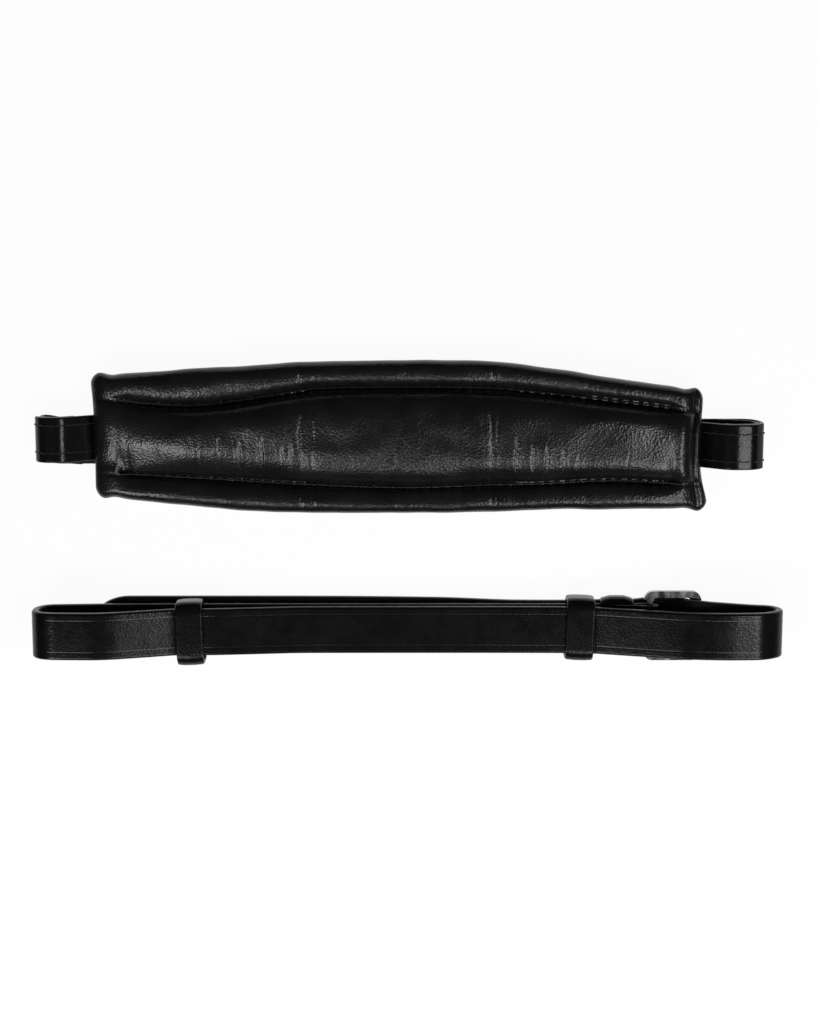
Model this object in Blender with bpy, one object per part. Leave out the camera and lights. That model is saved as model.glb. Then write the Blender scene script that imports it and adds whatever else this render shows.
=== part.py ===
# Leather noseband and curb strap of a mechanical hackamore, laid flat on a table.
# The padded side of the noseband looks up. The curb strap lies in front of it, face up.
# +X runs along the straps, +Z is up, and the origin is on the table under the middle
# of the noseband's outer strap. Sizes below are in millimetres.

import math

import bmesh
import bpy
from mathutils import Matrix, Vector

METRE = 0.001

# Clearance that touching pieces keep, and how finely curves are cut
GAP = 0.3
BEND_STEP = 15.0

# Noseband outer strap with a sewn loop at each end
NOSE_STRAP_WIDTH = 18.5
NOSE_STRAP_THICK = 2.0
LOOP_REACH = 25.3
LOOP_DEPTH = 15.4
LOOP_CORNER = 5.4
LOOP_FLAT = 10.0
LINING_THICK = 1.5
THROAT_TUCK = 3.5
RETURN_LAP = 22.0
LEFT_RETURN_LEAN = 3.0
RIGHT_RETURN_LEAN = 0.0
STRAP_EDGE = 0.5

# Backing panel behind the pad
PANEL_THICK = 2.5
PANEL_BORDER = 8.0
PANEL_CORNER = 6.0

# Pad: outline, rolled rim, seams and crown
PAD_LENGTH = 253.0
PAD_END_HALF = 24.9
PAD_TOP_MIDDLE = 33.9
PAD_BOTTOM_MIDDLE = 28.9
PAD_FLAT_HALF = 17.0
PAD_TAPER_REACH = 141.0
PAD_OFFSET = 0.9
PAD_SKEW = 1.2
PAD_RIM = 3.0
BOLSTER_WIDTH = 11.0
BOLSTER_HEIGHT = 8.6
SEAM_HEIGHT = 5.0
CROWN_HEIGHT = 13.6
PAD_END_ROUND = 7.0
PAD_CORNER = 4.6
SEAM_END = 8.0
COVER_THICK = 1.2
COVER_FLANGE = 14.0

# Folds of the noseband round the nose
FOLD_AT = 40.0
FOLD_ANGLE = 50.0
CREASE_DEPTH = 1.2
CREASE_WIDTH = 3.5

# Curb strap
CURB_CENTRE = (3.4, -78.4)
CURB_LENGTH = 315.0
CURB_WIDTH = 20.0
CURB_THICK = 3.2
LOOP_TOP = 24.5
RIGHT_LOOP_BOTTOM = 6.0
LOOP_END_FLAT = 2.0
TAIL_TIP_IN = 31.1
TAIL_POINT = 15.0
TAIL_LEAN = 2.0
CHAPE_THICK = 2.6
TURNBACK_END_THICK = 1.2

# Keepers: the thickness, the length along the strap and the room inside
RUNNER_THICK = 1.6
RUNNER_LENGTH = 12.2
RUNNER_SIDE = 0.5
LEFT_RUNNER_IN = 65.9
LEFT_RUNNER_ROOM = 10.9
RIGHT_RUNNER_TO_KEEPER = 15.6
RIGHT_RUNNER_ROOM = 11.9
RIGHT_RUNNER_TRAVEL = 20.0
BILLET_RISE = 23.6
FIXED_THICK = 1.4
FIXED_LENGTH = 14.3
KEEPER_TO_BAR = 14.3
KEEPER_CORNER = 2.6

# Heel-bar buckle
HEEL_BAR_IN = 55.4
BAR_THICK = 2.5
BILLET_LIFT = 1.0
FRAME_WIDTH = 30.6
FRAME_REACH = 21.2
FRAME_HEEL = 2.6
FRAME_SIDE = 3.2
END_BAR = 4.2
HEEL_RECESS_HALF = 10.9
HEEL_CORNER = 1.7
FRAME_CORNER = 3.4
WINDOW_CORNER = 1.2
FRAME_LEAN = 0.7
PRONG_THICK = 1.6
PRONG_WIDTH = 3.2
SLOT_WIDTH = 4.4
HOLE_START = 2.4
HOLE_END = 11.8

# Places along the curb strap, from its middle. The buckle's end is set from the right
# bend, and the tail and the left runner from the left one.
HEEL_BAR_AT = CURB_LENGTH / 2 - HEEL_BAR_IN
FIXED_AT = HEEL_BAR_AT - KEEPER_TO_BAR
RIGHT_RUNNER_AT = FIXED_AT - RIGHT_RUNNER_TO_KEEPER
LEFT_RUNNER_AT = LEFT_RUNNER_IN - CURB_LENGTH / 2
TAIL_TIP_AT = TAIL_TIP_IN - CURB_LENGTH / 2

# Levels of the curb strap's middle line, from the table up
HALF_CURB = CURB_THICK / 2
TAIL_Z = HALF_CURB
BILLET_Z = RUNNER_THICK + GAP + HALF_CURB
BACK_Z = BILLET_Z + CURB_THICK + GAP
FIXED_BILLET_Z = FIXED_THICK + GAP + HALF_CURB
FIXED_BACK_Z = FIXED_BILLET_Z + HALF_CURB + GAP + CHAPE_THICK / 2
TURNBACK_FLOOR = FIXED_BACK_Z + CHAPE_THICK / 2 + GAP + FIXED_THICK + GAP
LEFT_RUNNER_FLOOR = CURB_THICK + GAP
LEFT_FRONT_Z = LEFT_RUNNER_FLOOR + RUNNER_THICK + LEFT_RUNNER_ROOM - GAP - HALF_CURB
RIGHT_FRONT_Z = RUNNER_THICK + RIGHT_RUNNER_ROOM - GAP - HALF_CURB
LOOP_TOP_Z = LOOP_TOP - HALF_CURB
HEEL_BILLET_Z = BILLET_LIFT + HALF_CURB
OUTER_LEG_Z = HEEL_BILLET_Z + HALF_CURB + GAP + CHAPE_THICK / 2
HEEL_Z = OUTER_LEG_Z + CHAPE_THICK / 2 + GAP + BAR_THICK / 2
CHAPE_RADIUS = HEEL_Z - OUTER_LEG_Z
END_BILLET_Z = HEEL_Z + BAR_THICK / 2 + 2 * GAP + HALF_CURB
PRONG_RADIUS = BAR_THICK / 2 + GAP + PRONG_THICK / 2

# Levels and places of the noseband
NOSE_LENGTH = PAD_LENGTH + 2 * LOOP_REACH
RETURN_Z = NOSE_STRAP_THICK * 1.5 + GAP
PANEL_FLOOR = 2 * (NOSE_STRAP_THICK + GAP)
PAD_FLOOR = PANEL_FLOOR + PANEL_THICK + GAP
PANEL_HALF = PAD_LENGTH / 2 - PANEL_BORDER - PAD_RIM / 2
HALF_FOLD = math.radians(FOLD_ANGLE / 2)


def smooth(value):
    """Eases from 0 to 1 with level ends."""
    value = min(1.0, max(0.0, value))
    return value * value * (3.0 - 2.0 * value)


def material(name, colour, roughness, metallic=0.0):
    made = bpy.data.materials.new(name)
    made.use_nodes = True
    shader = made.node_tree.nodes["Principled BSDF"]
    shader.inputs["Base Color"].default_value = (*colour, 1.0)
    shader.inputs["Roughness"].default_value = roughness
    shader.inputs["Metallic"].default_value = metallic
    return made


def add_object(name, bm, finish, parent=None):
    """Makes a named object in metres from a bmesh in millimetres."""
    bmesh.ops.recalc_face_normals(bm, faces=bm.faces)
    bmesh.ops.scale(bm, vec=Vector((METRE, METRE, METRE)), verts=bm.verts)
    mesh = bpy.data.meshes.new(name)
    bm.to_mesh(mesh)
    bm.free()
    mesh.materials.append(finish)
    made = bpy.data.objects.new(name, mesh)
    bpy.context.scene.collection.objects.link(made)
    if parent:
        made.data.transform(parent.matrix_world.inverted())
        made.parent = parent
    return made


def pivot(name, place):
    """An empty on a joint's axis, which carries the pieces that move there."""
    made = bpy.data.objects.new(name, None)
    made.location = Vector(place) * METRE
    bpy.context.scene.collection.objects.link(made)
    bpy.context.view_layer.update()
    return made


def loft(rings, closed=False):
    """Skins a row of point rings. The row has flat ends, or runs round to its start."""
    bm = bmesh.new()
    rows = [[bm.verts.new(point) for point in ring] for ring in rings]
    pairs = list(zip(rows, rows[1:]))
    if closed:
        pairs.append((rows[-1], rows[0]))
    for one, two in pairs:
        for i in range(len(one)):
            j = (i + 1) % len(one)
            bm.faces.new((one[i], one[j], two[j], two[i]))
    if not closed:
        bm.faces.new(list(reversed(rows[0])))
        bm.faces.new(rows[-1])
    return bm


def route(corners, step=BEND_STEP):
    """Points along straight runs with rounded corners. A corner is (x, z, radius)."""
    points = [Vector(corners[0][:2])]
    for before, corner, after in zip(corners, corners[1:], corners[2:]):
        here = Vector(corner[:2])
        back = (Vector(before[:2]) - here).normalized()
        on = (Vector(after[:2]) - here).normalized()
        turn = math.pi - back.angle(on)
        if turn < 1e-3:
            points.append(here)
            continue
        reach = corner[2] * math.tan(turn / 2)
        centre = here + (back + on).normalized() * (corner[2] / math.cos(turn / 2))
        start = here + back * reach - centre
        count = max(2, math.ceil(math.degrees(turn) / step))
        side = 1.0 if start.x * (-back.y) - start.y * (-back.x) > 0 else -1.0
        for i in range(count + 1):
            swing = side * turn * i / count
            cosine = math.cos(swing)
            sine = math.sin(swing)
            around = Vector((start.x * cosine - start.y * sine, start.x * sine + start.y * cosine))
            points.append(centre + around)
    points.append(Vector(corners[-1][:2]))
    # Two arcs that meet share a point, which is kept once
    return [p for i, p in enumerate(points) if i == 0 or (p - points[i - 1]).length > 1e-3]


def strap(points, width, thick, lean=None, edge=STRAP_EDGE, closed=False):
    """A flat strap along points in X and Z. width, thick and lean may be functions of the
    index: the width and thickness there, and how far the strap lies off to the side."""
    rings = []
    last = len(points) - 1
    for i, point in enumerate(points):
        before = points[i - 1] if i or closed else points[0]
        after = points[(i + 1) % (last + 1)] if i < last or closed else points[last]
        into = (point - before).normalized()
        onward = (after - point).normalized()
        along = (into + onward).normalized()
        # A corner's ring is widened to its mitre, which keeps the thickness on both sides
        mitre = max(0.8, along.dot(into), along.dot(onward))
        normal = Vector((-along.y, along.x)) / mitre
        half = (width(i) if callable(width) else width) / 2
        deep = (thick(i) if callable(thick) else thick) / 2
        side = lean(i) if lean else 0.0
        cut = min(edge, deep * 0.6, half * 0.5)
        outline = [
            (-half, -deep + cut), (-half + cut, -deep), (half - cut, -deep), (half, -deep + cut),
            (half, deep - cut), (half - cut, deep), (-half + cut, deep), (-half, deep - cut),
        ]
        rings.append([
            (point.x + normal.x * up, side + across, point.y + normal.y * up)
            for across, up in outline
        ])
    return loft(rings, closed)


def path_lengths(points):
    lengths = [0.0]
    for one, two in zip(points, points[1:]):
        lengths.append(lengths[-1] + (two - one).length)
    return lengths


def cut_away(bm, point, normal):
    """Keeps what lies behind the plane and closes the cut."""
    geometry = bm.verts[:] + bm.edges[:] + bm.faces[:]
    cut = bmesh.ops.bisect_plane(
        bm, geom=geometry, dist=1e-5, plane_co=point, plane_no=normal, clear_outer=True
    )
    edges = [item for item in cut["geom_cut"] if isinstance(item, bmesh.types.BMEdge)]
    bmesh.ops.edgeloop_fill(bm, edges=edges)


def fold_plane(side, wing):
    """Point and outward normal of the face where a section ends at a fold. The face
    leans by half the fold, so that the sections meet when the wing is folded up."""
    away = side if wing else -side
    point = Vector((side * FOLD_AT + away * GAP / 2, 0.0, 0.0))
    normal = Vector((-away * math.cos(HALF_FOLD), 0.0, math.sin(HALF_FOLD)))
    return point, normal


def sections(name, build, finish, pivots):
    """Three sections of a piece that folds with the noseband: middle, left and right."""
    middle = build()
    for side in (-1, 1):
        cut_away(middle, *fold_plane(side, wing=False))
    add_object(name + "_middle", middle, finish)
    for side, label in ((-1, "_left"), (1, "_right")):
        wing = build()
        cut_away(wing, *fold_plane(side, wing=True))
        add_object(name + label, wing, finish, pivots[side])


# Noseband

def loop_corners(side):
    """Corners of the outer strap from under the pad, out to the end and back again."""
    end = side * (NOSE_LENGTH - NOSE_STRAP_THICK) / 2
    pad_end = side * PAD_LENGTH / 2
    top = LOOP_DEPTH - NOSE_STRAP_THICK / 2
    return [
        (pad_end - side * (RETURN_LAP + THROAT_TUCK), RETURN_Z, 0.0),
        (pad_end - side * THROAT_TUCK, RETURN_Z, 10.0),
        (end - side * LOOP_FLAT, top, LOOP_CORNER),
        (end, top, LOOP_CORNER),
        (end, NOSE_STRAP_THICK / 2, LOOP_CORNER),
        (end - side * (LOOP_DEPTH - NOSE_STRAP_THICK), NOSE_STRAP_THICK / 2, 0.0),
    ]


def outer_strap():
    left = loop_corners(-1)
    right = loop_corners(1)
    points = route(left + list(reversed(right)))
    lengths = path_lengths(points)
    middle = lengths[-1] / 2
    bend = math.pi * LOOP_CORNER

    def lean(i):
        # The folded-back end lies askew of the strap below it
        amount = LEFT_RETURN_LEAN if lengths[i] < middle else RIGHT_RETURN_LEAN
        end = NOSE_LENGTH / 2 - bend / 2
        return amount * smooth((abs(lengths[i] - middle) - end) / bend)

    return strap(points, NOSE_STRAP_WIDTH, NOSE_STRAP_THICK, lean)


def loop_lining(side, lean_by):
    """The lining sewn inside an end loop, from the throat round the end and back."""
    outer = loop_corners(side)
    inset = (NOSE_STRAP_THICK + LINING_THICK) / 2 + GAP
    slope = (Vector(outer[2][:2]) - Vector(outer[1][:2])).normalized()
    down = Vector((slope.y, -slope.x)) * side
    if down.y > 0:
        down = -down
    throat = Vector(outer[1][:2]) + down * inset
    floor = NOSE_STRAP_THICK / 2 + inset
    # The upper leg starts where it is clear of the lower one
    rise = floor + LINING_THICK + GAP - throat.y
    start = throat + slope * (rise / slope.y)
    knee = Vector(outer[2][:2]) + Vector((0.0, -inset))
    knee.x = throat.x + (knee.y - throat.y) * slope.x / slope.y
    end = outer[3][0] - side * inset
    corner = LOOP_CORNER - inset
    points = route([
        (start.x, start.y, 0.0),
        (knee.x, knee.y, corner),
        (end, outer[3][1] - inset, corner),
        (end, floor, corner),
        (start.x - side * LINING_THICK, floor, 0.0),
    ], step=22.5)
    lengths = path_lengths(points)
    foot = lengths[-1] - 2 * LOOP_FLAT

    def lean(i):
        return lean_by * smooth((foot - lengths[i]) / LOOP_DEPTH + 1.0)

    return strap(points, NOSE_STRAP_WIDTH, LINING_THICK, lean, edge=0.3)


def pad_half_width(x, middle):
    """Distance from the strap's middle line to the pad's edge, full in the middle."""
    reach = PAD_TAPER_REACH - PAD_FLAT_HALF
    taper = smooth((abs(x) - PAD_FLAT_HALF) / reach)
    full = smooth((PAD_LENGTH / 2 - PAD_FLAT_HALF) / reach)
    return middle + (PAD_END_HALF - middle) * taper / full


def pad_edges(x, inward=0.0):
    """Lower and upper edge of the pad, which is sewn a little off the strap's middle and
    a little askew of it."""
    middle = PAD_OFFSET - x * math.tan(math.radians(PAD_SKEW))
    low = middle - pad_half_width(x, PAD_BOTTOM_MIDDLE) + inward
    high = middle + pad_half_width(x, PAD_TOP_MIDDLE) - inward
    return low, high


def corner_drop(inward, radius):
    """How far a rounded corner draws the side in, at a distance in from the end."""
    short = max(0.0, radius - inward)
    return radius - math.sqrt(max(0.0, radius ** 2 - short ** 2))


def plate_ring(x, low, high, floor, thick, edge):
    return [
        (x, low, floor + edge), (x, low + edge, floor), (x, high - edge, floor),
        (x, high, floor + edge), (x, high, floor + thick - edge), (x, high - edge, floor + thick),
        (x, low + edge, floor + thick), (x, low, floor + thick - edge),
    ]


def backing_panel():
    """The shaped leather panel behind the pad, with rounded corners."""
    count = 18
    places = [PANEL_HALF * (2 * i / count - 1) for i in range(count + 1)]
    corner = [PANEL_CORNER * (1 - math.cos(math.radians(a))) for a in (0, 30, 60)]
    places += [side * (PANEL_HALF - inward) for side in (-1, 1) for inward in corner[1:]]
    rings = []
    for x in sorted(set(places)):
        drop = corner_drop(PANEL_HALF - abs(x), PANEL_CORNER)
        low, high = pad_edges(x, PANEL_BORDER + drop)
        rings.append(plate_ring(x, low, high, PANEL_FLOOR, PANEL_THICK, STRAP_EDGE))
    return loft(rings)


def strap_filler():
    """The layer that levels the panel between the folded-back ends of the strap."""
    half = PAD_LENGTH / 2 - RETURN_LAP - THROAT_TUCK - GAP
    low = NOSE_STRAP_WIDTH / -2
    floor = NOSE_STRAP_THICK + GAP
    return loft([
        plate_ring(x, low, -low, floor, NOSE_STRAP_THICK, STRAP_EDGE) for x in (-half, 0.0, half)
    ])


def bolster(reach):
    """Height of the rolled rim at a distance in from the pad's edge, 0 to 1."""
    span = abs(1.0 - reach / (BOLSTER_WIDTH / 2))
    return (1.0 - min(1.0, span) ** 2.2) ** (1 / 2.2)


def pad_ring(x, inset):
    """One ring across the pad. inset moves its whole skin inwards."""
    ahead = PAD_LENGTH / 2 - abs(x)
    low, high = pad_edges(x, corner_drop(ahead, PAD_CORNER))
    sewn = smooth((ahead - SEAM_END) / SEAM_END)
    seam = BOLSTER_HEIGHT * 0.92 + (SEAM_HEIGHT - BOLSTER_HEIGHT * 0.92) * sewn
    crown = BOLSTER_HEIGHT + (CROWN_HEIGHT - BOLSTER_HEIGHT) * smooth(ahead / (3 * SEAM_END))
    crown -= CREASE_DEPTH * math.exp(-(((abs(x) - FOLD_AT) / CREASE_WIDTH) ** 2))
    rounding = min(1.0, ahead / PAD_END_ROUND)
    shrink = math.sqrt(1.0 - (1.0 - rounding) ** 2)
    floor = PAD_FLOOR + inset

    def height(value):
        full = PAD_RIM + (value - PAD_RIM) * shrink
        return PAD_FLOOR + max(full - inset, 1.5 * inset)

    half_seam = BOLSTER_WIDTH / 2
    across = [0.0, 0.9, 2.4, half_seam, 8.0, 10.2, BOLSTER_WIDTH]
    edge = []
    for reach in across:
        if reach <= half_seam:
            tall = PAD_RIM + (BOLSTER_HEIGHT - PAD_RIM) * bolster(reach)
        else:
            tall = seam + (BOLSTER_HEIGHT - seam) * bolster(reach)
        edge.append((max(reach, inset), height(tall)))
    ring = [(low + 1.2 + inset, floor)]
    ring += [(low + reach + inset * (1 - reach / BOLSTER_WIDTH), z) for reach, z in edge]
    span = (high - low) / 2 - BOLSTER_WIDTH
    centre = (high + low) / 2
    for share in (-0.93, -0.78, -0.52, -0.26, 0.0, 0.26, 0.52, 0.78, 0.93):
        rise = (1.0 - abs(share) ** 2.4) ** 0.625
        ring.append((centre + span * share, height(seam + (crown - seam) * rise)))
    ring += [
        (high - reach - inset * (1 - reach / BOLSTER_WIDTH), z) for reach, z in reversed(edge)
    ]
    ring.append((high - 1.2 - inset, floor))
    return [(x, y, z) for y, z in ring]


def pad_places(inset):
    """Where the pad's rings stand: close together at its ends and at the folds."""
    half = PAD_LENGTH / 2 - inset
    inward = [0.0, 0.5, 1.6, 3.4, 5.6, 8.2, 12.0, 16.0, 24.0, 38.0, 55.0]
    places = [half - step for step in inward]
    places += [FOLD_AT + CREASE_WIDTH * step for step in (3.2, 1.6, 0.8, 0.0, -0.8, -1.6, -3.2)]
    places += [15.0, 0.0]
    return sorted(set([-x for x in places] + places))


def pad_body(inset=0.0):
    return loft([pad_ring(x, inset) for x in pad_places(inset)])


def evaluated(bm, cutters):
    """A bmesh in millimetres with other closed shapes cut out of it."""
    steel = bpy.data.materials.new("cutter")
    body = add_object("body", bm, steel)
    helpers = [add_object("cutter", cutter, steel) for cutter in cutters]
    for helper in helpers:
        helper.hide_render = True
        helper.display_type = "WIRE"
        cut = body.modifiers.new("cut", "BOOLEAN")
        cut.operation = "DIFFERENCE"
        cut.solver = "EXACT"
        cut.object = helper
    bpy.context.view_layer.update()
    mesh = bpy.data.meshes.new_from_object(
        body.evaluated_get(bpy.context.evaluated_depsgraph_get())
    )
    result = bmesh.new()
    result.from_mesh(mesh)
    bmesh.ops.scale(result, vec=Vector((1 / METRE,) * 3), verts=result.verts)
    for helper in helpers + [body]:
        bpy.data.objects.remove(helper)
    bpy.data.meshes.remove(mesh)
    bpy.data.materials.remove(steel)
    return result


def box(low, high):
    bm = bmesh.new()
    bmesh.ops.create_cube(bm, size=1.0)
    size = Vector(high) - Vector(low)
    middle = (Vector(high) + Vector(low)) / 2
    bmesh.ops.scale(bm, vec=size, verts=bm.verts)
    bmesh.ops.translate(bm, vec=middle, verts=bm.verts)
    return bm


def pad_cover():
    """Soft leather round the padding, turned in under it and open below where the
    backing panel closes it."""
    reach = PAD_LENGTH / 2 - COVER_FLANGE
    opening = []
    for i in range(11):
        x = reach * (i / 5 - 1)
        low, high = pad_edges(x, COVER_FLANGE)
        opening.append(plate_ring(x, low, high, PAD_FLOOR - 1.0, COVER_THICK + 2.0, 0.2))
    return evaluated(pad_body(), [pad_body(COVER_THICK), loft(opening)])


def pad_foam():
    return pad_body(COVER_THICK + GAP)


def pad_fold(side):
    """The soft wedge of pad and backing that is squeezed when a wing folds up."""
    bm = pad_body()
    for wing in (True, False):
        point, normal = fold_plane(side, wing)
        away = normal.copy()
        away.negate()
        cut_away(bm, point + away * -GAP, away)
    return bm


def build_noseband(leather, soft, foam):
    pivots = {
        side: pivot(name, (side * FOLD_AT, 0.0, 0.0))
        for side, name in ((-1, "left_fold_axis"), (1, "right_fold_axis"))
    }
    sections("outer_strap", outer_strap, leather, pivots)
    sections("strap_filler", strap_filler, leather, pivots)
    sections("backing_panel", backing_panel, leather, pivots)
    sections("pad_foam", pad_foam, foam, pivots)
    sections("pad_cover", pad_cover, soft, pivots)
    for side, label, lean in ((-1, "left", LEFT_RETURN_LEAN), (1, "right", RIGHT_RETURN_LEAN)):
        add_object("loop_lining_" + label, loop_lining(side, lean), leather, pivots[side])
        add_object("pad_fold_" + label, pad_fold(side), soft)


# Curb strap

def curb_points():
    """The strap's middle line: from its turned-back end round the buckle's heel bar,
    along the back, round the left end, along the face, round the right end, through
    the buckle and on to the tip of the tail."""
    left = (HALF_CURB - CURB_LENGTH / 2)
    right = (CURB_LENGTH / 2 - HALF_CURB)
    left_radius = (LOOP_TOP_Z - BACK_Z - LOOP_END_FLAT) / 2
    right_low = RIGHT_LOOP_BOTTOM + HALF_CURB
    right_radius = (LOOP_TOP_Z - right_low - LOOP_END_FLAT) / 2
    keeper_left = FIXED_AT - FIXED_LENGTH / 2
    keeper_right = FIXED_AT + FIXED_LENGTH / 2
    heel_right = HEEL_BAR_AT + CHAPE_RADIUS
    turnback = TURNBACK_FLOOR + TURNBACK_END_THICK / 2
    runner = RUNNER_LENGTH / 2
    back = [
        (FIXED_AT, turnback, 0.0),
        (keeper_right + 0.6, turnback, 6.0),
        (HEEL_BAR_AT - 2.0, HEEL_Z + CHAPE_RADIUS, 4.0),
        (heel_right, HEEL_Z + CHAPE_RADIUS, CHAPE_RADIUS),
        (heel_right, OUTER_LEG_Z, CHAPE_RADIUS),
        (HEEL_BAR_AT - 2.5, OUTER_LEG_Z, 5.0),
        (keeper_right + 0.5, FIXED_BACK_Z, 5.0),
        (keeper_left - 0.2, FIXED_BACK_Z, 3.0),
        (RIGHT_RUNNER_AT + runner + 0.2, BACK_Z, 3.0),
        (left, BACK_Z, left_radius),
    ]
    face = [
        (left, LOOP_TOP_Z, left_radius),
        (left + 26.0, LOOP_TOP_Z, 50.0),
        (LEFT_RUNNER_AT - runner - 7.0, LEFT_FRONT_Z, 40.0),
        (LEFT_RUNNER_AT + runner + 4.0, LEFT_FRONT_Z, 50.0),
        (LEFT_RUNNER_AT + 3.4 * RUNNER_LENGTH, RIGHT_FRONT_Z, 90.0),
        (RIGHT_RUNNER_AT + runner + 1.2, RIGHT_FRONT_Z, 5.0),
        (FIXED_AT + FIXED_LENGTH, LOOP_TOP_Z - 5.4, 60.0),
        (right - 34.0, LOOP_TOP_Z - 1.6, 70.0),
        (right - 2.2 * right_radius, LOOP_TOP_Z, 60.0),
        (right, LOOP_TOP_Z, right_radius),
        (right, right_low, right_radius),
    ]
    frame_end = HEEL_BAR_AT + FRAME_REACH
    rise = RIGHT_RUNNER_AT - runner - RIGHT_RUNNER_TRAVEL - 4.0
    billet = [
        (frame_end + 17.0, right_low, 14.0),
        (frame_end + 1.0, END_BILLET_Z, 12.0),
        (frame_end - END_BAR - 1.6, END_BILLET_Z, 5.0),
        (HEEL_BAR_AT + 2.9, HEEL_BILLET_Z, 5.0),
        (HEEL_BAR_AT - 3.0, HEEL_BILLET_Z, 8.0),
        (keeper_right + 0.4, FIXED_BILLET_Z, 8.0),
        (keeper_left - 0.2, FIXED_BILLET_Z, 5.0),
        (RIGHT_RUNNER_AT + runner + 0.2, BILLET_Z, 5.0),
        (rise, BILLET_Z, 80.0),
        (rise - BILLET_RISE, TAIL_Z, 80.0),
    ]
    billet += [(LEFT_RUNNER_AT * share, TAIL_Z, 0.0) for share in (0.0, 0.33, 0.67, 1.0)]
    billet += [
        (TAIL_TIP_AT + TAIL_POINT * (1 - math.sin(math.radians(angle))), TAIL_Z, 0.0)
        for angle in (0, 30, 50, 65, 77, 86)
    ]
    return route(back + face + billet)


def curb_strap():
    points = curb_points()
    folded = next(i for i, point in enumerate(points) if point.x > HEEL_BAR_AT)
    right_end = max(range(len(points)), key=lambda i: points[i].x)
    leaves = RIGHT_RUNNER_AT - RUNNER_LENGTH / 2
    billet_from = next(i for i in range(right_end, len(points)) if points[i].x < leaves)
    keeper_right = FIXED_AT + FIXED_LENGTH / 2
    between = (FIXED_AT - FIXED_LENGTH / 2 + RIGHT_RUNNER_AT + RUNNER_LENGTH / 2) / 2
    full_from = next(i for i in range(folded, len(points)) if points[i].x < between)

    def thick(i):
        # The leather is pared down where it turns round the buckle
        if i < folded:
            turn = smooth((points[i].x - keeper_right) / (HEEL_BAR_AT - keeper_right))
            return TURNBACK_END_THICK + (CHAPE_THICK - TURNBACK_END_THICK) * turn
        return CHAPE_THICK if i < full_from else CURB_THICK

    def lean(i):
        if i < billet_from:
            return 0.0
        return TAIL_LEAN * smooth((leaves - points[i].x) / (leaves - LEFT_RUNNER_AT))

    def width(i):
        if i < billet_from:
            return CURB_WIDTH
        short = (TAIL_TIP_AT + TAIL_POINT - points[i].x) / TAIL_POINT
        if short <= 0.0:
            return CURB_WIDTH
        return max(2.0, CURB_WIDTH * math.sqrt(max(0.0, 1.0 - short * short)))

    bm = strap(points, width, thick, lean)
    reach = PRONG_RADIUS + PRONG_THICK / 2 + 1.0
    slot_side = SLOT_WIDTH / 2
    over_billet = OUTER_LEG_Z - CHAPE_THICK / 2 - GAP / 2
    crew = box(
        (HEEL_BAR_AT - reach, -slot_side, over_billet),
        (HEEL_BAR_AT, slot_side, HEEL_Z + CHAPE_RADIUS + CHAPE_THICK),
    )
    bow = turned(HEEL_BAR_AT, HEEL_Z, CHAPE_RADIUS + CHAPE_THICK / 2 + GAP / 2, SLOT_WIDTH)
    hole = box(
        (HEEL_BAR_AT + HOLE_START, -slot_side, HEEL_BILLET_Z - CURB_THICK),
        (HEEL_BAR_AT + HOLE_END, slot_side, END_BILLET_Z + CURB_THICK),
    )
    return evaluated(bm, [crew, bow, hole])


def turned(x, z, radius, length):
    """A cylinder across the strap."""
    bm = bmesh.new()
    bmesh.ops.create_cone(
        bm, cap_ends=True, segments=32, radius1=radius, radius2=radius, depth=length
    )
    bmesh.ops.rotate(bm, matrix=Matrix.Rotation(math.pi / 2, 3, "X"), verts=bm.verts)
    bmesh.ops.translate(bm, vec=Vector((x, 0.0, z)), verts=bm.verts)
    return bm


def keeper(at, length, thick, floor, room, side=RUNNER_SIDE):
    """A band of leather round the strap: its inside is room high."""
    half = CURB_WIDTH / 2 + side + thick / 2
    corner = KEEPER_CORNER
    middle = floor + thick / 2
    top = floor + room + 1.5 * thick
    corners = [
        (0.0, middle, 0.0), (half, middle, corner), (half, top, corner),
        (-half, top, corner), (-half, middle, corner), (0.0, middle, 0.0),
    ]
    points = route(corners, step=22.5)[:-1]
    bm = strap(points, length, thick, closed=True, edge=0.45)
    # The band was drawn in X and Z, so a quarter turn sets it across the strap
    bmesh.ops.rotate(bm, matrix=Matrix.Rotation(math.pi / 2, 3, "Z"), verts=bm.verts)
    bmesh.ops.translate(bm, vec=Vector((at, 0.0, 0.0)), verts=bm.verts)
    return bm


def corner_arc(centre, radius, start):
    return [
        Vector((
            centre[0] + radius * math.cos(math.radians(start + angle)),
            centre[1] + radius * math.sin(math.radians(start + angle)),
        ))
        for angle in (0, 22.5, 45, 67.5, 90)
    ]


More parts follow.
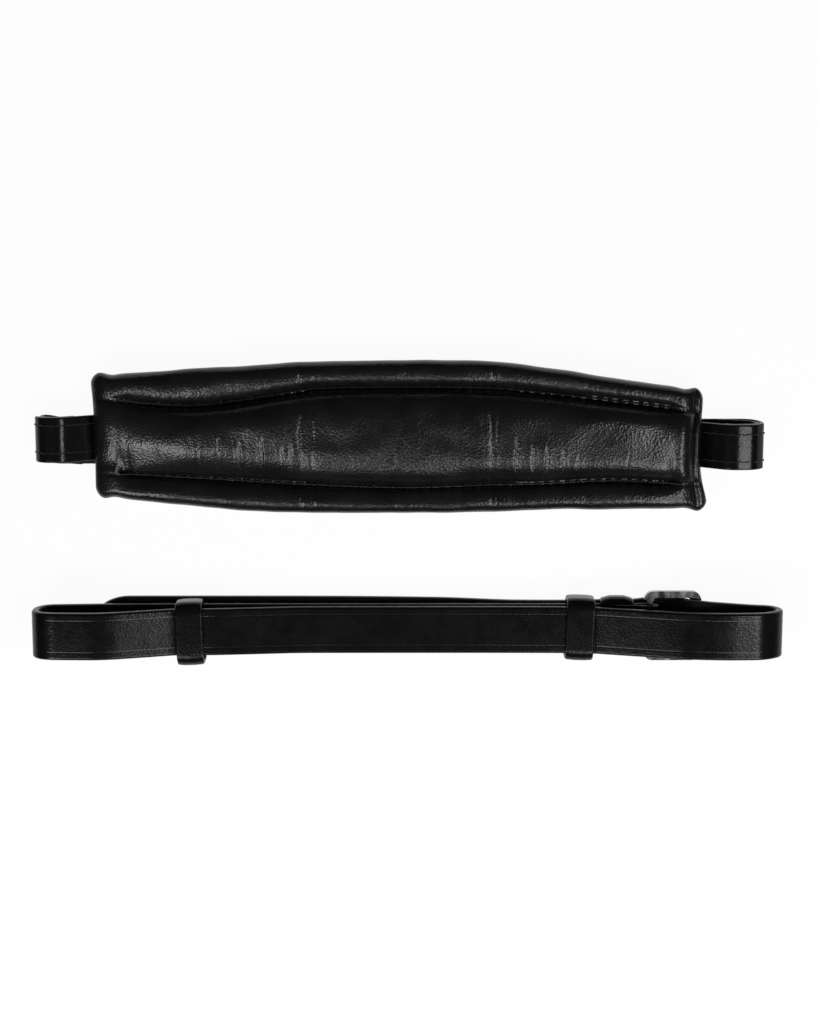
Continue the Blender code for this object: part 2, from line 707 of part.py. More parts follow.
def buckle_frame():
    """A flat rounded frame whose heel bar is set back for the leather round it."""
    half = FRAME_WIDTH / 2
    end = HEEL_BAR_AT + FRAME_REACH
    heel_out = HEEL_BAR_AT - FRAME_HEEL
    bar = BAR_THICK / 2
    inside = half - FRAME_SIDE
    window_end = end - END_BAR
    window_heel = HEEL_BAR_AT + bar
    r, heel_r, w = FRAME_CORNER, HEEL_CORNER, WINDOW_CORNER
    outer = corner_arc((end - r, half - r), r, 0)
    outer += corner_arc((heel_out + heel_r, half - heel_r), heel_r, 90)
    inner = corner_arc((window_end - w, inside - w), w, 0)
    inner += corner_arc((window_heel + w, inside - w), w, 90)
    # The bar is thinner than the frame's sides, with a shoulder at each end
    recess = HEEL_RECESS_HALF
    outer += [Vector((heel_out, recess + GAP)), Vector((HEEL_BAR_AT - bar, recess))]
    inner += [Vector((window_heel, recess - GAP)), Vector((window_heel, recess - 2 * GAP))]
    outer += [Vector((p.x, -p.y)) for p in reversed(outer)]
    inner += [Vector((p.x, -p.y)) for p in reversed(inner)]
    cut = BAR_THICK * 0.28
    rings = []
    for far, near in zip(outer, inner):
        toward = (near - far).normalized() * cut
        rings.append([
            (*far, HEEL_Z - bar + cut), (*(far + toward), HEEL_Z - bar),
            (*(near - toward), HEEL_Z - bar), (*near, HEEL_Z - bar + cut),
            (*near, HEEL_Z + bar - cut), (*(near - toward), HEEL_Z + bar),
            (*(far + toward), HEEL_Z + bar), (*far, HEEL_Z + bar - cut),
        ])
    bm = loft(rings, closed=True)
    bmesh.ops.translate(bm, vec=Vector((0.0, FRAME_LEAN, 0.0)), verts=bm.verts)
    return bm


def buckle_prong():
    """A strip of metal curled round the heel bar, whose tip lies on the end bar."""
    points = []
    for angle in range(240, -91, -15):
        swing = math.radians(angle)
        points.append(Vector((
            HEEL_BAR_AT + PRONG_RADIUS * math.cos(swing),
            HEEL_Z + PRONG_RADIUS * math.sin(swing),
        )))
    foot = HEEL_Z - PRONG_RADIUS
    points = [Vector((2 * HEEL_BAR_AT - p.x, p.y)) for p in points]
    tip = HEEL_BAR_AT + FRAME_REACH + 0.4
    points += [Vector((HEEL_BAR_AT + 6.0, foot)), Vector((tip - 2.5, foot)), Vector((tip, foot))]
    last = len(points) - 1

    def width(i):
        return {last: PRONG_WIDTH * 0.55, last - 1: PRONG_WIDTH * 0.85}.get(i, PRONG_WIDTH)

    def thick(i):
        return PRONG_THICK * (0.7 if i == last else 1.0)

    return strap(points, width, thick, edge=0.35)


def build_curb_strap(leather, steel):
    x, y = CURB_CENTRE

    def place(bm):
        bmesh.ops.translate(bm, vec=Vector((x, y, 0.0)), verts=bm.verts)
        return bm

    set_down = pivot("curb_strap_place", (x, y, 0.0))
    prong_axis = pivot("prong_axis", (x + HEEL_BAR_AT, y, HEEL_Z))
    add_object("curb_strap", place(curb_strap()), leather, set_down)
    left = keeper(LEFT_RUNNER_AT, RUNNER_LENGTH, RUNNER_THICK, LEFT_RUNNER_FLOOR, LEFT_RUNNER_ROOM)
    add_object("runner_keeper_left", place(left), leather, set_down)
    right = keeper(RIGHT_RUNNER_AT, RUNNER_LENGTH, RUNNER_THICK, 0.0, RIGHT_RUNNER_ROOM)
    add_object("runner_keeper_right", place(right), leather, set_down)
    room = FIXED_BACK_Z + CHAPE_THICK / 2 + GAP - FIXED_THICK
    fixed = keeper(FIXED_AT, FIXED_LENGTH, FIXED_THICK, 0.0, room)
    add_object("fixed_keeper", place(fixed), leather, set_down)
    add_object("buckle_frame", place(buckle_frame()), steel, set_down)
    add_object("buckle_prong", place(buckle_prong()), steel, prong_axis)


def main():
    for old in list(bpy.data.objects):
        bpy.data.objects.remove(old)
    leather = material("black_bridle_leather", (0.016, 0.016, 0.017), 0.34)
    soft = material("black_soft_leather", (0.014, 0.014, 0.015), 0.42)
    foam = material("dark_foam", (0.10, 0.10, 0.10), 0.9)
    steel = material("bright_steel", (0.72, 0.72, 0.72), 0.16, metallic=1.0)
    build_noseband(leather, soft, foam)
    build_curb_strap(leather, steel)


main()
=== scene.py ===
import math
from bisect import bisect_right

import bmesh
import bpy
from mathutils import Matrix, Vector, noise


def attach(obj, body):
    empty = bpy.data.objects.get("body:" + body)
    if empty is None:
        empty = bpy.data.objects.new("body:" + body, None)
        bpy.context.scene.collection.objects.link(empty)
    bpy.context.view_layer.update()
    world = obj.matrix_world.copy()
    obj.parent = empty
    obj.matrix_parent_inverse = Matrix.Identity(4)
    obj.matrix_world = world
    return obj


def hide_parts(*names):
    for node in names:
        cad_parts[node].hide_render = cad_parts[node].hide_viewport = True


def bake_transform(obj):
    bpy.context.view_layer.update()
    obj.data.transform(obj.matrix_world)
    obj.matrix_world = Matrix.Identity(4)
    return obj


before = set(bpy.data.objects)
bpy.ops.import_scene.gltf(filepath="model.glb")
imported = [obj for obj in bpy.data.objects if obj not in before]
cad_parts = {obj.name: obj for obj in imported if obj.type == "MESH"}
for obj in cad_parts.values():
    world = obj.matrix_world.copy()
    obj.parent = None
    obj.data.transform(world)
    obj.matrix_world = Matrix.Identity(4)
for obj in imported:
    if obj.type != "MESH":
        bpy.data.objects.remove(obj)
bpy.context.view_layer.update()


def ease(value):
    value = min(1.0, max(0.0, value))
    return value * value * (3.0 - 2.0 * value)


def through(table, x):  # a smooth line through a few measured points
    places = [point[0] for point in table]
    i = min(len(table) - 2, max(0, bisect_right(places, x) - 1))
    (x0, y0), (x1, y1) = table[i], table[i + 1]
    before = table[max(0, i - 1)]
    after = table[min(len(table) - 1, i + 2)]
    slope0 = (y1 - before[1]) / (x1 - before[0])
    slope1 = (after[1] - y0) / (after[0] - x0)
    t = min(1.0, max(0.0, (x - x0) / (x1 - x0)))
    span = x1 - x0
    curve = (2 * t**3 - 3 * t**2 + 1) * y0 + (t**3 - 2 * t**2 + t) * span * slope0
    return curve + (3 * t**2 - 2 * t**3) * y1 + (t**3 - t**2) * span * slope1


# Materials

tintStops = (0.35, 0.65)  # where the darker and the lighter tint begin in a pattern
glossRange = (0.3, 0.7)  # the part of a pattern that spreads over the roughness


def startMaterial(name, colour, roughness, shine=0.5, metallic=0):
    material = bpy.data.materials.new(name)
    material.use_nodes = True
    shader = material.node_tree.nodes["Principled BSDF"]
    shader.inputs["Base Color"].default_value = (*colour, 1.0)
    shader.inputs["Roughness"].default_value = roughness
    shader.inputs["Specular IOR Level"].default_value = shine
    shader.inputs["Metallic"].default_value = metallic
    return material, shader


def addPattern(material, scale, stretch=(1, 1, 1), kind="ShaderNodeTexNoise", **settings):
    nodes, links = material.node_tree.nodes, material.node_tree.links
    place = nodes.new("ShaderNodeTexCoord")
    mapping = nodes.new("ShaderNodeMapping")
    mapping.inputs["Scale"].default_value = stretch
    pattern = nodes.new(kind)
    for key, value in settings.items():
        socket = pattern.inputs.get(key)
        if socket is None:
            setattr(pattern, key, value)
        else:
            socket.default_value = value
    pattern.inputs["Scale"].default_value = scale
    links.new(place.outputs["Object"], mapping.inputs["Vector"])
    links.new(mapping.outputs["Vector"], pattern.inputs["Vector"])
    outputs = pattern.outputs
    return outputs["Distance"] if "Distance" in outputs else outputs["Fac"]


def addTint(material, shader, pattern, dark, light):
    nodes, links = material.node_tree.nodes, material.node_tree.links
    ramp = nodes.new("ShaderNodeValToRGB")
    for stop, place, colour in zip(ramp.color_ramp.elements, tintStops, (dark, light)):
        stop.position = place
        stop.color = (*colour, 1.0)
    links.new(pattern, ramp.inputs["Fac"])
    links.new(ramp.outputs["Color"], shader.inputs["Base Color"])


def addGloss(material, shader, pattern, low, high):
    nodes, links = material.node_tree.nodes, material.node_tree.links
    spread = nodes.new("ShaderNodeMapRange")
    ends = zip(("From Min", "From Max", "To Min", "To Max"), (*glossRange, low, high))
    for name, value in ends:
        spread.inputs[name].default_value = value
    links.new(pattern, spread.inputs["Value"])
    links.new(spread.outputs["Result"], shader.inputs["Roughness"])


def addBumps(material, shader, layers):  # layers: (pattern, strength, depth in metres)
    nodes, links = material.node_tree.nodes, material.node_tree.links
    last = None
    for pattern, strength, depth in layers:
        bump = nodes.new("ShaderNodeBump")
        bump.inputs["Strength"].default_value = strength
        bump.inputs["Distance"].default_value = depth
        links.new(pattern, bump.inputs["Height"])
        if last:
            links.new(last.outputs["Normal"], bump.inputs["Normal"])
        last = bump
    links.new(last.outputs["Normal"], shader.inputs["Normal"])


# Pattern scales are counts to the metre, and depths are in metres
leatherPatterns = {
    "clouds": {"scale": 75, "Detail": 4.0, "Roughness": 0.6},
    "patches": {"scale": 160, "Detail": 5.0, "Roughness": 0.65},
    "wave": {"scale": 45, "Detail": 2.0},
    "folds": {"scale": 420, "stretch": (1, 0.16, 1), "Detail": 4.0, "Distortion": 0.6},
}
bridleLook = {
    "colour": (0.0022, 0.0022, 0.0026), "worn": (0.0045, 0.0045, 0.005),
    "roughness": (0.17, 0.24), "shine": 0.17, "grainCells": 1000 / 0.95,
    "grainDepth": 0.00004, "waveDepth": 0.00015, "foldDepth": 0,
}
softLook = {
    "colour": (0.0035, 0.0035, 0.004), "worn": (0.007, 0.007, 0.0075),
    "roughness": (0.22, 0.28), "shine": 0.3, "grainCells": 1000 / 0.9,
    "grainDepth": 0.0001, "waveDepth": 0.0005, "foldDepth": 0.00015,
}
plainLooks = {
    "fleshSide": {
        "colour": (0.006, 0.006, 0.006), "roughness": 0.62, "metallic": 0, "shine": 0.2,
        "pattern": {"scale": 700, "Detail": 6.0, "Roughness": 0.7},
        "tints": ((0.004, 0.004, 0.004), (0.011, 0.0105, 0.01)),
        "gloss": (0.5, 0.75), "bump": (0.6, 0.00012),
    },
    "burnishedEdge": {
        "colour": (0.006, 0.006, 0.0065), "roughness": 0.3, "metallic": 0, "shine": 0.3,
        "pattern": {"scale": 900, "stretch": (0.25, 1, 1), "Detail": 4.0},
        "tints": ((0.004, 0.004, 0.0045), (0.011, 0.011, 0.0115)),
        "gloss": (0.24, 0.42), "bump": (0.35, 0.00006),
    },
    "waxedThread": {
        "colour": (0.004, 0.004, 0.0045), "roughness": 0.45, "metallic": 0, "shine": 0.3,
        "pattern": {"scale": 2600, "stretch": (1, 2.2, 1), "Detail": 2.0},
        "tints": ((0.005, 0.005, 0.0055), (0.014, 0.014, 0.0145)),
        "gloss": (), "bump": (0.6, 0.0001),
    },
    "brightSteel": {
        "colour": (0.5, 0.5, 0.51), "roughness": 0.14, "metallic": 1, "shine": 0.5,
        "pattern": {"scale": 380, "stretch": (1, 0.3, 1), "Detail": 6.0},
        "tints": ((0.26, 0.26, 0.27), (0.5, 0.5, 0.5)),
        "gloss": (0.1, 0.2), "bump": (0.3, 0.00005),
    },
}


def makeLeather(name, look):
    gloss = look["roughness"]
    material, shader = startMaterial(name, look["colour"], gloss[0], look["shine"])
    clouds = addPattern(material, **leatherPatterns["clouds"])
    addTint(material, shader, clouds, look["colour"], look["worn"])
    addGloss(material, shader, addPattern(material, **leatherPatterns["patches"]), *gloss)
    grain = addPattern(
        material, look["grainCells"], kind="ShaderNodeTexVoronoi", feature="SMOOTH_F1",
        Smoothness=0.6,
    )
    wave = addPattern(material, **leatherPatterns["wave"])
    layers = [(wave, 0.35, look["waveDepth"])]
    if look["foldDepth"]:
        folds = addPattern(material, **leatherPatterns["folds"])
        layers.append((folds, 0.35, look["foldDepth"]))
    layers.append((grain, 1.0, look["grainDepth"]))
    addBumps(material, shader, layers)
    return material


def makePlain(name):  # a material with one pattern for its tint, gloss and bumps
    look = plainLooks[name]
    material, shader = startMaterial(
        name, look["colour"], look["roughness"], look["shine"], look["metallic"]
    )
    pattern = addPattern(material, **look["pattern"])
    addTint(material, shader, pattern, *look["tints"])
    if look["gloss"]:
        addGloss(material, shader, pattern, *look["gloss"])
    addBumps(material, shader, [(pattern, *look["bump"])])
    return material


bridle = makeLeather("bridleLeather", bridleLook)
soft = makeLeather("softPadLeather", softLook)
flesh, edge, thread, steel = [makePlain(name) for name in plainLooks]
strapFinish = [bridle, flesh, edge]
print("materials ready")


# Straps: cut flat with rounded edges, creased and punched, then bent along their path

def addObject(name, data):
    item = bpy.data.objects.new(name, data)
    bpy.context.scene.collection.objects.link(item)
    return item


def finishPiece(name, bm, materials, sharpAngle=35):
    bmesh.ops.scale(bm, vec=(0.001, 0.001, 0.001), verts=bm.verts)
    mesh = bpy.data.meshes.new(name)
    bm.to_mesh(mesh)
    bm.free()
    for material in materials:
        mesh.materials.append(material)
    mesh.shade_smooth()
    mesh.set_sharp_from_angle(angle=math.radians(sharpAngle))
    piece = addObject(name, mesh)
    return piece


# the longest steps: degrees and millimetres round a corner, millimetres on a straight
pathSteps = {"turn": 7, "arc": 1.6, "straight": 2.0, "least": 0.02}


def roundedPath(corners, longest=pathSteps["straight"]):  # corners: (x, z, radius)
    points = [Vector(corners[0][:2])]
    for before, corner, after in zip(corners, corners[1:], corners[2:]):
        here = Vector(corner[:2])
        back = (Vector(before[:2]) - here).normalized()
        onward = (Vector(after[:2]) - here).normalized()
        turn = math.pi - back.angle(onward)
        if turn < 0.001 or corner[2] == 0.0:
            points.append(here)
            continue
        centre = here + (back + onward).normalized() * (corner[2] / math.cos(turn / 2))
        arm = here + back * (corner[2] * math.tan(turn / 2)) - centre
        byTurn = math.ceil(math.degrees(turn) / pathSteps["turn"])
        steps = max(3, byTurn, math.ceil(corner[2] * turn / pathSteps["arc"]))
        side = 1 if arm.cross(-back) > 0 else -1
        for i in range(steps + 1):
            points.append(centre + Matrix.Rotation(side * turn * i / steps, 2) @ arm)
    points.append(Vector(corners[-1][:2]))
    path = [points[0]]
    for point in points[1:]:
        last = path[-1]
        gap = (point - last).length
        if gap > pathSteps["least"]:
            parts = math.ceil(gap / longest)
            path += [last.lerp(point, i / parts) for i in range(1, parts + 1)]
    return measured(path)


def measured(points, closed=False):  # adds each point's distance along and its normal
    lengths = [0.0]
    for one, two in zip(points, points[1:]):
        lengths.append(lengths[-1] + (two - one).length)
    normals = []
    last = len(points) - 1
    for i, point in enumerate(points):
        before = points[i - 1] if i else (points[-2] if closed else None)
        after = points[i + 1] if i < last else (points[1] if closed else None)
        into = (point - before).normalized() if before else (after - point).normalized()
        on = (after - point).normalized() if after else into
        along = (into + on).normalized()
        normals.append(Vector((-along.y, along.x)) / max(0.8, along.dot(into)))
    return {"points": points, "lengths": lengths, "normals": normals}


def onPath(path, s):  # the point and the outer side at a distance along the path
    lengths = path["lengths"]
    i = min(len(lengths) - 2, max(0, bisect_right(lengths, s) - 1))
    t = (s - lengths[i]) / (lengths[i + 1] - lengths[i])
    point = path["points"][i].lerp(path["points"][i + 1], t)
    normal = path["normals"][i].lerp(path["normals"][i + 1], min(1.0, max(0.0, t)))
    return point, normal


def lengthAt(path, x, begin=0.0):  # the first distance after begin where the path passes x
    points, lengths = path["points"], path["lengths"]
    for one, two, here, there in zip(points, points[1:], lengths, lengths[1:]):
        low, high = sorted((one.x, two.x))
        if here >= begin and low <= x <= high and low < high:
            return here + (x - one.x) / (two.x - one.x) * (there - here)
    raise ValueError("the path doesn't pass " + str(x))


def edgesAlong(bm, axis):  # before any bending: 0 for the long edges, 2 for the upright
    return [e for e in bm.edges if abs(e.verts[0].co[axis] - e.verts[1].co[axis]) > 0.5]


def roundEdges(bm, edges, radius, segments):
    bmesh.ops.bevel(
        bm, geom=edges, offset=radius, offset_type="OFFSET", segments=segments, profile=0.5,
        affect="EDGES", material=-1, clamp_overlap=True,
    )


def cutAlong(bm, y):  # adds a line of edges along the whole piece
    bmesh.ops.bisect_plane(
        bm, geom=bm.verts[:] + bm.edges[:] + bm.faces[:], dist=0.0001,
        plane_co=(0, y, 0), plane_no=(0, 1, 0),
    )


def thicken(bm, height):  # makes a closed block of a flat sheet
    made = bmesh.ops.extrude_face_region(bm, geom=bm.faces[:], use_keep_orig=True)
    raised = [item for item in made["geom"] if isinstance(item, bmesh.types.BMVert)]
    bmesh.ops.translate(bm, vec=(0, 0, height), verts=raised)


def flatStrap(path, width, thick, rounding, cuts=None):
    rings = len(path["points"]) - 1
    bm = bmesh.new()
    bmesh.ops.create_cube(bm, size=1.0)
    bmesh.ops.scale(bm, vec=(rings, width, thick), verts=bm.verts)
    bmesh.ops.translate(bm, vec=(rings / 2, 0, 0), verts=bm.verts)
    roundEdges(bm, edgesAlong(bm, 0), rounding, 4)
    inner = width / 2 - rounding - 0.25
    for y in cuts or (-inner, -inner / 2, 0, inner / 2, inner):
        cutAlong(bm, y)
    bmesh.ops.subdivide_edges(
        bm, edges=edgesAlong(bm, 0), cuts=rings - 1, use_grid_fill=True
    )
    for vert in bm.verts:
        vert.co.x = path["lengths"][round(vert.co.x)]
    bm.normal_update()
    return bm


def paintSides(bm):  # grain side, flesh side and cut edges of a flat strap
    bm.normal_update()
    for face in bm.faces:
        up = face.normal.z
        face.material_index = 0 if up > 0.75 else 1 if up < -0.75 else 2


def creased(bm, line, reach, depth):  # presses a crease line along each side of the grain
    for vert in bm.verts:
        off = abs(abs(vert.co.y) - line)
        if vert.co.z > 0:
            vert.co.z -= depth * max(0.0, 1 - off / reach)


def punch(bm, cutter):  # takes the cutter's shapes out of a flat strap
    mesh, tool = bpy.data.meshes.new("flat"), bpy.data.meshes.new("cutter")
    bm.to_mesh(mesh)
    cutter.to_mesh(tool)
    body, knife = addObject("flat", mesh), addObject("cutter", tool)
    cut = body.modifiers.new("cut", "BOOLEAN")
    cut.operation = "DIFFERENCE"
    cut.solver = "EXACT"
    cut.object = knife
    bpy.context.view_layer.update()
    bm.clear()
    bm.from_mesh(body.evaluated_get(bpy.context.evaluated_depsgraph_get()).to_mesh())
    cutter.free()
    for item in (body, knife):
        bpy.data.objects.remove(item)
    for item in (mesh, tool):
        bpy.data.meshes.remove(item)


def bend(bm, path, lean=None):
    for vert in bm.verts:
        point, normal = onPath(path, vert.co.x)
        s, across, out = vert.co
        aside = lean(s) if lean else 0.0
        vert.co = (point.x + normal.x * out, across + aside, point.y + normal.y * out)
    bm.normal_update()


def mirrorAcross(bm):  # the left-hand twin of a right-hand piece
    bmesh.ops.scale(bm, vec=(-1, 1, 1), verts=bm.verts)
    bmesh.ops.reverse_faces(bm, faces=bm.faces)


# awlHolePaintedShade is painted shade: a matte near-black material for a small blob sunk into
# the leather at each stitch, standing in for the dark inside the awl hole
hole = startMaterial("awlHolePaintedShade", (0.002, 0.002, 0.002), 0.9)[0]
threadAndHoleShade = [thread, hole]
# hole and sunk give the width and depth of the near-black blob of painted shade that stands
# for each awl hole
strapStitch = {"thread": 0.6, "hole": 1.1, "lengthShare": 0.8, "slant": 8, "sunk": 0.16}
padStitch = {"thread": 0.68, "hole": 0.8, "lengthShare": 0.78, "slant": 5, "sunk": 0.1}
threadFlatness = 0.9
holeShares = (0.75, 0.4, 1.0)  # size of the near-black blob of painted hole shade, as shares of the hole's width: across, deep and along


def sewRow(bm, places, look):  # places: (point, along, outward), one to each stitch
    tilt = math.radians(look["slant"])
    wide, awl = look["thread"], [look["hole"] * share for share in holeShares]
    for point, along, outward in places:
        onward = (Matrix.Rotation(tilt, 3, outward) @ along).normalized()
        across = outward.cross(onward).normalized()
        turn = Matrix((across, onward.cross(across), onward)).transposed().to_4x4()
        long = look["lengthShare"] * along.length
        pierced = point + along * 0.5 - outward * look["sunk"]
        # Each stitch is a thread capsule and, half a stitch on, a near-black matte blob sunk
        # into the leather: painted shade for the awl hole
        shapes = (((wide, wide * threadFlatness, long), point), (awl, pierced))
        for shade, (size, centre) in enumerate(shapes):
            made = bmesh.ops.create_uvsphere(bm, u_segments=6, v_segments=6, radius=0.5)
            matrix = Matrix.Translation(centre) @ turn @ Matrix.Diagonal((*size, 1.0))
            bmesh.ops.transform(bm, matrix=matrix, verts=made["verts"])
            for face in {face for vert in made["verts"] for face in vert.link_faces}:
                face.material_index = shade


def rowOnPath(path, y, out, begin, end, pitch, lean):
    count = max(1, round((end - begin) / pitch))
    step = (end - begin) / count
    places = []
    for i in range(count):
        s = begin + (i + 0.5) * step
        here, normal = onPath(path, s)
        ahead, _ = onPath(path, s + 0.3)
        outward = Vector((normal.x, 0, normal.y)).normalized()
        along = Vector((ahead.x - here.x, 0, ahead.y - here.y)).normalized() * step
        point = Vector((here.x + normal.x * out, y + lean(s), here.y + normal.y * out))
        places.append((point, along, outward))
    return places


# Noseband pad: soft leather over a filling, sewn down along two seams

padShape = {
    "floor": 7.4, "half": 126.5, "rim": 3.0, "tuck": 1.6, "corner": 4.6, "cornerTurn": 7,
    "bolster": 8.6, "seam": 5.0, "crown": 13.6, "crownSunk": 0.4, "crownCurve": 0.65,
    "stitch": 2.15, "stitchRaised": 0.5, "unsewn": 9, "crest": 0.4, "archCurve": 2.2,
    "valley": 0.8, "step": 0.42,
    "layers": 4, "rowCounts": (16, 44, 16),  # vertices down the side and across each zone
    # towards each end: the seams flatten, the crown sinks and the edge turns down
    "seamEnd": (8.0, 8.0), "seamLeast": 6, "blunt": 0.92, "crownEnd": (6, 38),
    "endCrown": {-1: 9.4, 1: 12.2}, "endRound": 10.5, "endLean": (0.1, 13), "drawnIn": 12,
    # the thin roll along the right end, and the hollow inside it
    "roll": {"gap": 2.6, "wide": 2.4, "tall": 0.58},
    "dip": {"at": 12.5, "wide": 2.6, "low": 1.6, "high": 0.4},
    "ears": [(1.0, 2.5, 3.2), (-0.4, 8.5, 3)],  # at each corner: height, place, width
    # small forms, which fade near the middle so that both halves meet
    "still": 3.0, "sway": (0.3, 13), "lumps": 0.45, "bars": (1.4, 0.35),
    "pucker": (0.35, 1.9), "edgeFade": 3.0,
    "foldDip": (0.25, 40.0, 4.5), "outerFoldDip": 0.3,
    "top": [
        (-127, 29.0), (-103, 30.3), (-82.4, 31.9), (-62, 32.8), (-41, 34.4), (0, 35.1),
        (21, 35.2), (41.4, 34.4), (62, 31.9), (82.8, 28.6), (103.5, 25.6), (127, 22.4),
    ],
    "bottom": [
        (-127, -21.6), (-115, -23.1), (-103, -24.2), (-82, -26.3), (-62, -28.1), (-41, -28.7),
        (0, -28.8), (41.3, -28.3), (62, -27.3), (82.5, -27.4), (103, -27.1), (127, -27.6),
    ],
    "upperSeam": [
        (-127, 20.2), (-115, 18.9), (-106, 17.6), (-81.7, 16.9), (-42.4, 22.6), (-34.5, 23.7),
        (0, 24.3), (38.9, 23.8), (66, 21.3), (104, 16.8), (127, 13.8),
    ],
    "lowerSeam": [
        (-127, -11.4), (-112.5, -12.1), (-90.5, -13.3), (-62.7, -15), (-38.6, -16.4),
        (0, -17.7), (39, -16.6), (57, -16.2), (89, -14.8), (112.8, -16), (127, -16.6),
    ],
    "wrinkles": [
        (-127, 0.0), (-112, 0.02), (-92, 0.04), (-80, 0.06), (-45, 0.06), (-37, 0.04),
        (0, 0.03), (36, 0.04), (44, 0.05), (68, 0.05), (90, 0.04), (112, 0.02), (127, 0.0),
    ],
    # creases across the whole pad: place, depth, width
    "creases": [(-41.1, 0.26, 0.6), (-35.8, 0.2, 0.6), (38.1, 0.26, 0.6), (40.6, 0.15, 0.55)],
    "leftEnd": [(-24, -0.5), (-15, -0.3), (5, -0.3), (18, -0.7), (27, -1.4)],
    "rightEnd": [
        (-26, 1.7), (-23, 1.4), (-15, -0.5), (-9, -1.3), (5, -1.4), (18, -0.9), (26, -0.7),
    ],
    # how flat the crown's top is, and how much it leans towards the lower seam
    "flatness": [
        (-127, 2.0), (-97, 2.1), (-80, 2.7), (-45, 3.2), (-36, 3.6), (0, 3.8), (36, 3.6),
        (70, 3.8), (100, 5.0), (127, 5.0),
    ],
    "tilt": [
        (-127, 0.12), (-112, 0.12), (-95, 0.1), (-80, 0.12), (-46, 0.12), (-36, 0.07),
        (0, 0.05), (36, 0.05), (60, 0.06), (85, 0.05), (100, 0.03), (127, 0.03),
    ],
    # short creases in the crown: place, lower and upper end, depth, slant
    "tucks": [
        (-74.6, -11, 6, 0.3, 0.12), (-66.3, -12, 4, 0.34, -0.1), (-57.0, -13, 5, 0.36, -0.06),
        (-48.8, -13, 2, 0.3, -0.1), (-45.0, -12, 3, 0.26, 0.05), (-83.0, -9, 3, 0.2, 0.1),
        (48.4, -12, 4, 0.32, 0.05), (54.6, -12, 2, 0.26, -0.06), (61.0, -13, 1, 0.3, 0.08),
        (67.5, -13, 0, 0.26, -0.05), (74.0, -12, -2, 0.26, 0.06), (95.0, -11, -2, 0.16, 0.1),
    ],
}


def hump(offset, width):
    return math.exp(-((offset / width) ** 2))


def cornerDrop(ahead, radius):  # how far a rounded corner draws the long side in
    short = max(0.0, radius - ahead)
    return radius - math.sqrt(max(0.0, radius**2 - short**2))


def placesAlong(half, corner, turn, step):  # even steps, and closer ones round the corner
    near = [corner * (1 - math.cos(math.radians(a))) for a in range(0, 91, turn)]
    places = [half - inward for inward in near]
    steps = round(places[-1] / step)
    return places + [places[-1] * i / steps for i in range(steps)]


def padColumn(x):  # what is the same all across the pad at one place along it
    pad, roll, dip = padShape, padShape["roll"], padShape["dip"]
    ahead = pad["half"] - abs(x)
    drop = cornerDrop(ahead, pad["corner"])
    calm = ease(abs(x) / pad["still"])
    swing, swingLong = pad["sway"]
    sway = swing * noise.noise(Vector((x / swingLong, 4.0, 0))) * calm
    ear = sum(height * hump(ahead - at, width) for height, at, width in pad["ears"])
    bottom, top = through(pad["bottom"], x), through(pad["top"], x)
    (sewnFrom, sewnOver), (crownFrom, crownOver) = pad["seamEnd"], pad["crownEnd"]
    sewn = ease((ahead - sewnFrom) / sewnOver)
    blunt = pad["bolster"] * pad["blunt"]
    end = pad["endCrown"][-1 if x < 0 else 1]
    rounding = min(1.0, ahead / pad["endRound"])
    rolled = 0.0
    if x > 0:
        rounding = max(0.0, min(1.0, (ahead - roll["gap"]) / (pad["endRound"] - roll["gap"])))
        rolled = math.sqrt(max(0.0, 1 - (ahead / roll["wide"] - 1) ** 2)) * roll["tall"]
    return {
        "x": x, "ahead": ahead, "sewn": sewn, "calm": calm,
        "low": bottom + drop + sway - ear,
        "high": top - drop + sway + ear,
        "lower": max(through(pad["lowerSeam"], x), bottom + drop + pad["seamLeast"]),
        "upper": min(through(pad["upperSeam"], x), top - drop - pad["seamLeast"]),
        "seam": blunt + (pad["seam"] - blunt) * sewn,
        "crown": end + (pad["crown"] - end) * ease((ahead - crownFrom) / crownOver),
        "dip": hump(ahead - dip["at"], dip["wide"]),
        "shrink": max(math.sqrt(1.0 - (1.0 - rounding) ** 2), rolled),
        "flatness": through(pad["flatness"], x),
        "tilt": through(pad["tilt"], x),
        "wrinkle": through(pad["wrinkles"], x) * calm,
    }


def padRows():  # zone and share across: lower bolster, crown, upper bolster
    return [
        (zone, (1 - math.cos(math.pi * i / count)) / 2)
        for zone, count in enumerate(padShape["rowCounts"])
        for i in range(1 if zone else 0, count + 1)
    ]


def crownPoint(column, share):  # across, the height, and the distance from the nearer seam
    pad, seam = padShape, column["seam"]
    half = (column["upper"] - column["lower"]) / 2
    y = (column["upper"] + column["lower"]) / 2 + half * (2 * share - 1)
    aside = min(1.0, abs(2 * share - 1) / (1 - pad["valley"] / half))
    rise = (1.0 - aside ** column["flatness"]) ** pad["crownCurve"]
    tall = seam + (column["crown"] - pad["crownSunk"] - seam) * rise
    tall += column["tilt"] * half * (2 * share - 1) * (1 - aside**4)
    dip = pad["dip"]
    tall -= column["dip"] * (dip["low"] * (1 - share) ** 3 + dip["high"] * share**4)
    return y, tall, half * min(2 * share, 2 - 2 * share)


def bolsterPoint(column, zone, share):  # the same, and the distance from the outer edge
    pad, seam, rim = padShape, column["seam"], padShape["rim"]
    outer, inner, inward = column["low"], column["lower"], share
    if zone == 2:
        outer, inner, inward = column["high"], column["upper"], 1 - share
    y = outer + (inner - outer) * inward
    crest = pad["crest"]
    flat = pad["valley"] / abs(inner - outer)
    fall = 1 - inward / crest if inward < crest else (inward - crest) / (1 - crest - flat)
    arch = (1.0 - min(1.0, fall) ** pad["archCurve"]) ** (1 / pad["archCurve"])
    base = rim if inward < crest else seam
    return y, base + (pad["bolster"] - base) * arch, abs(y - inner), abs(y - outer)


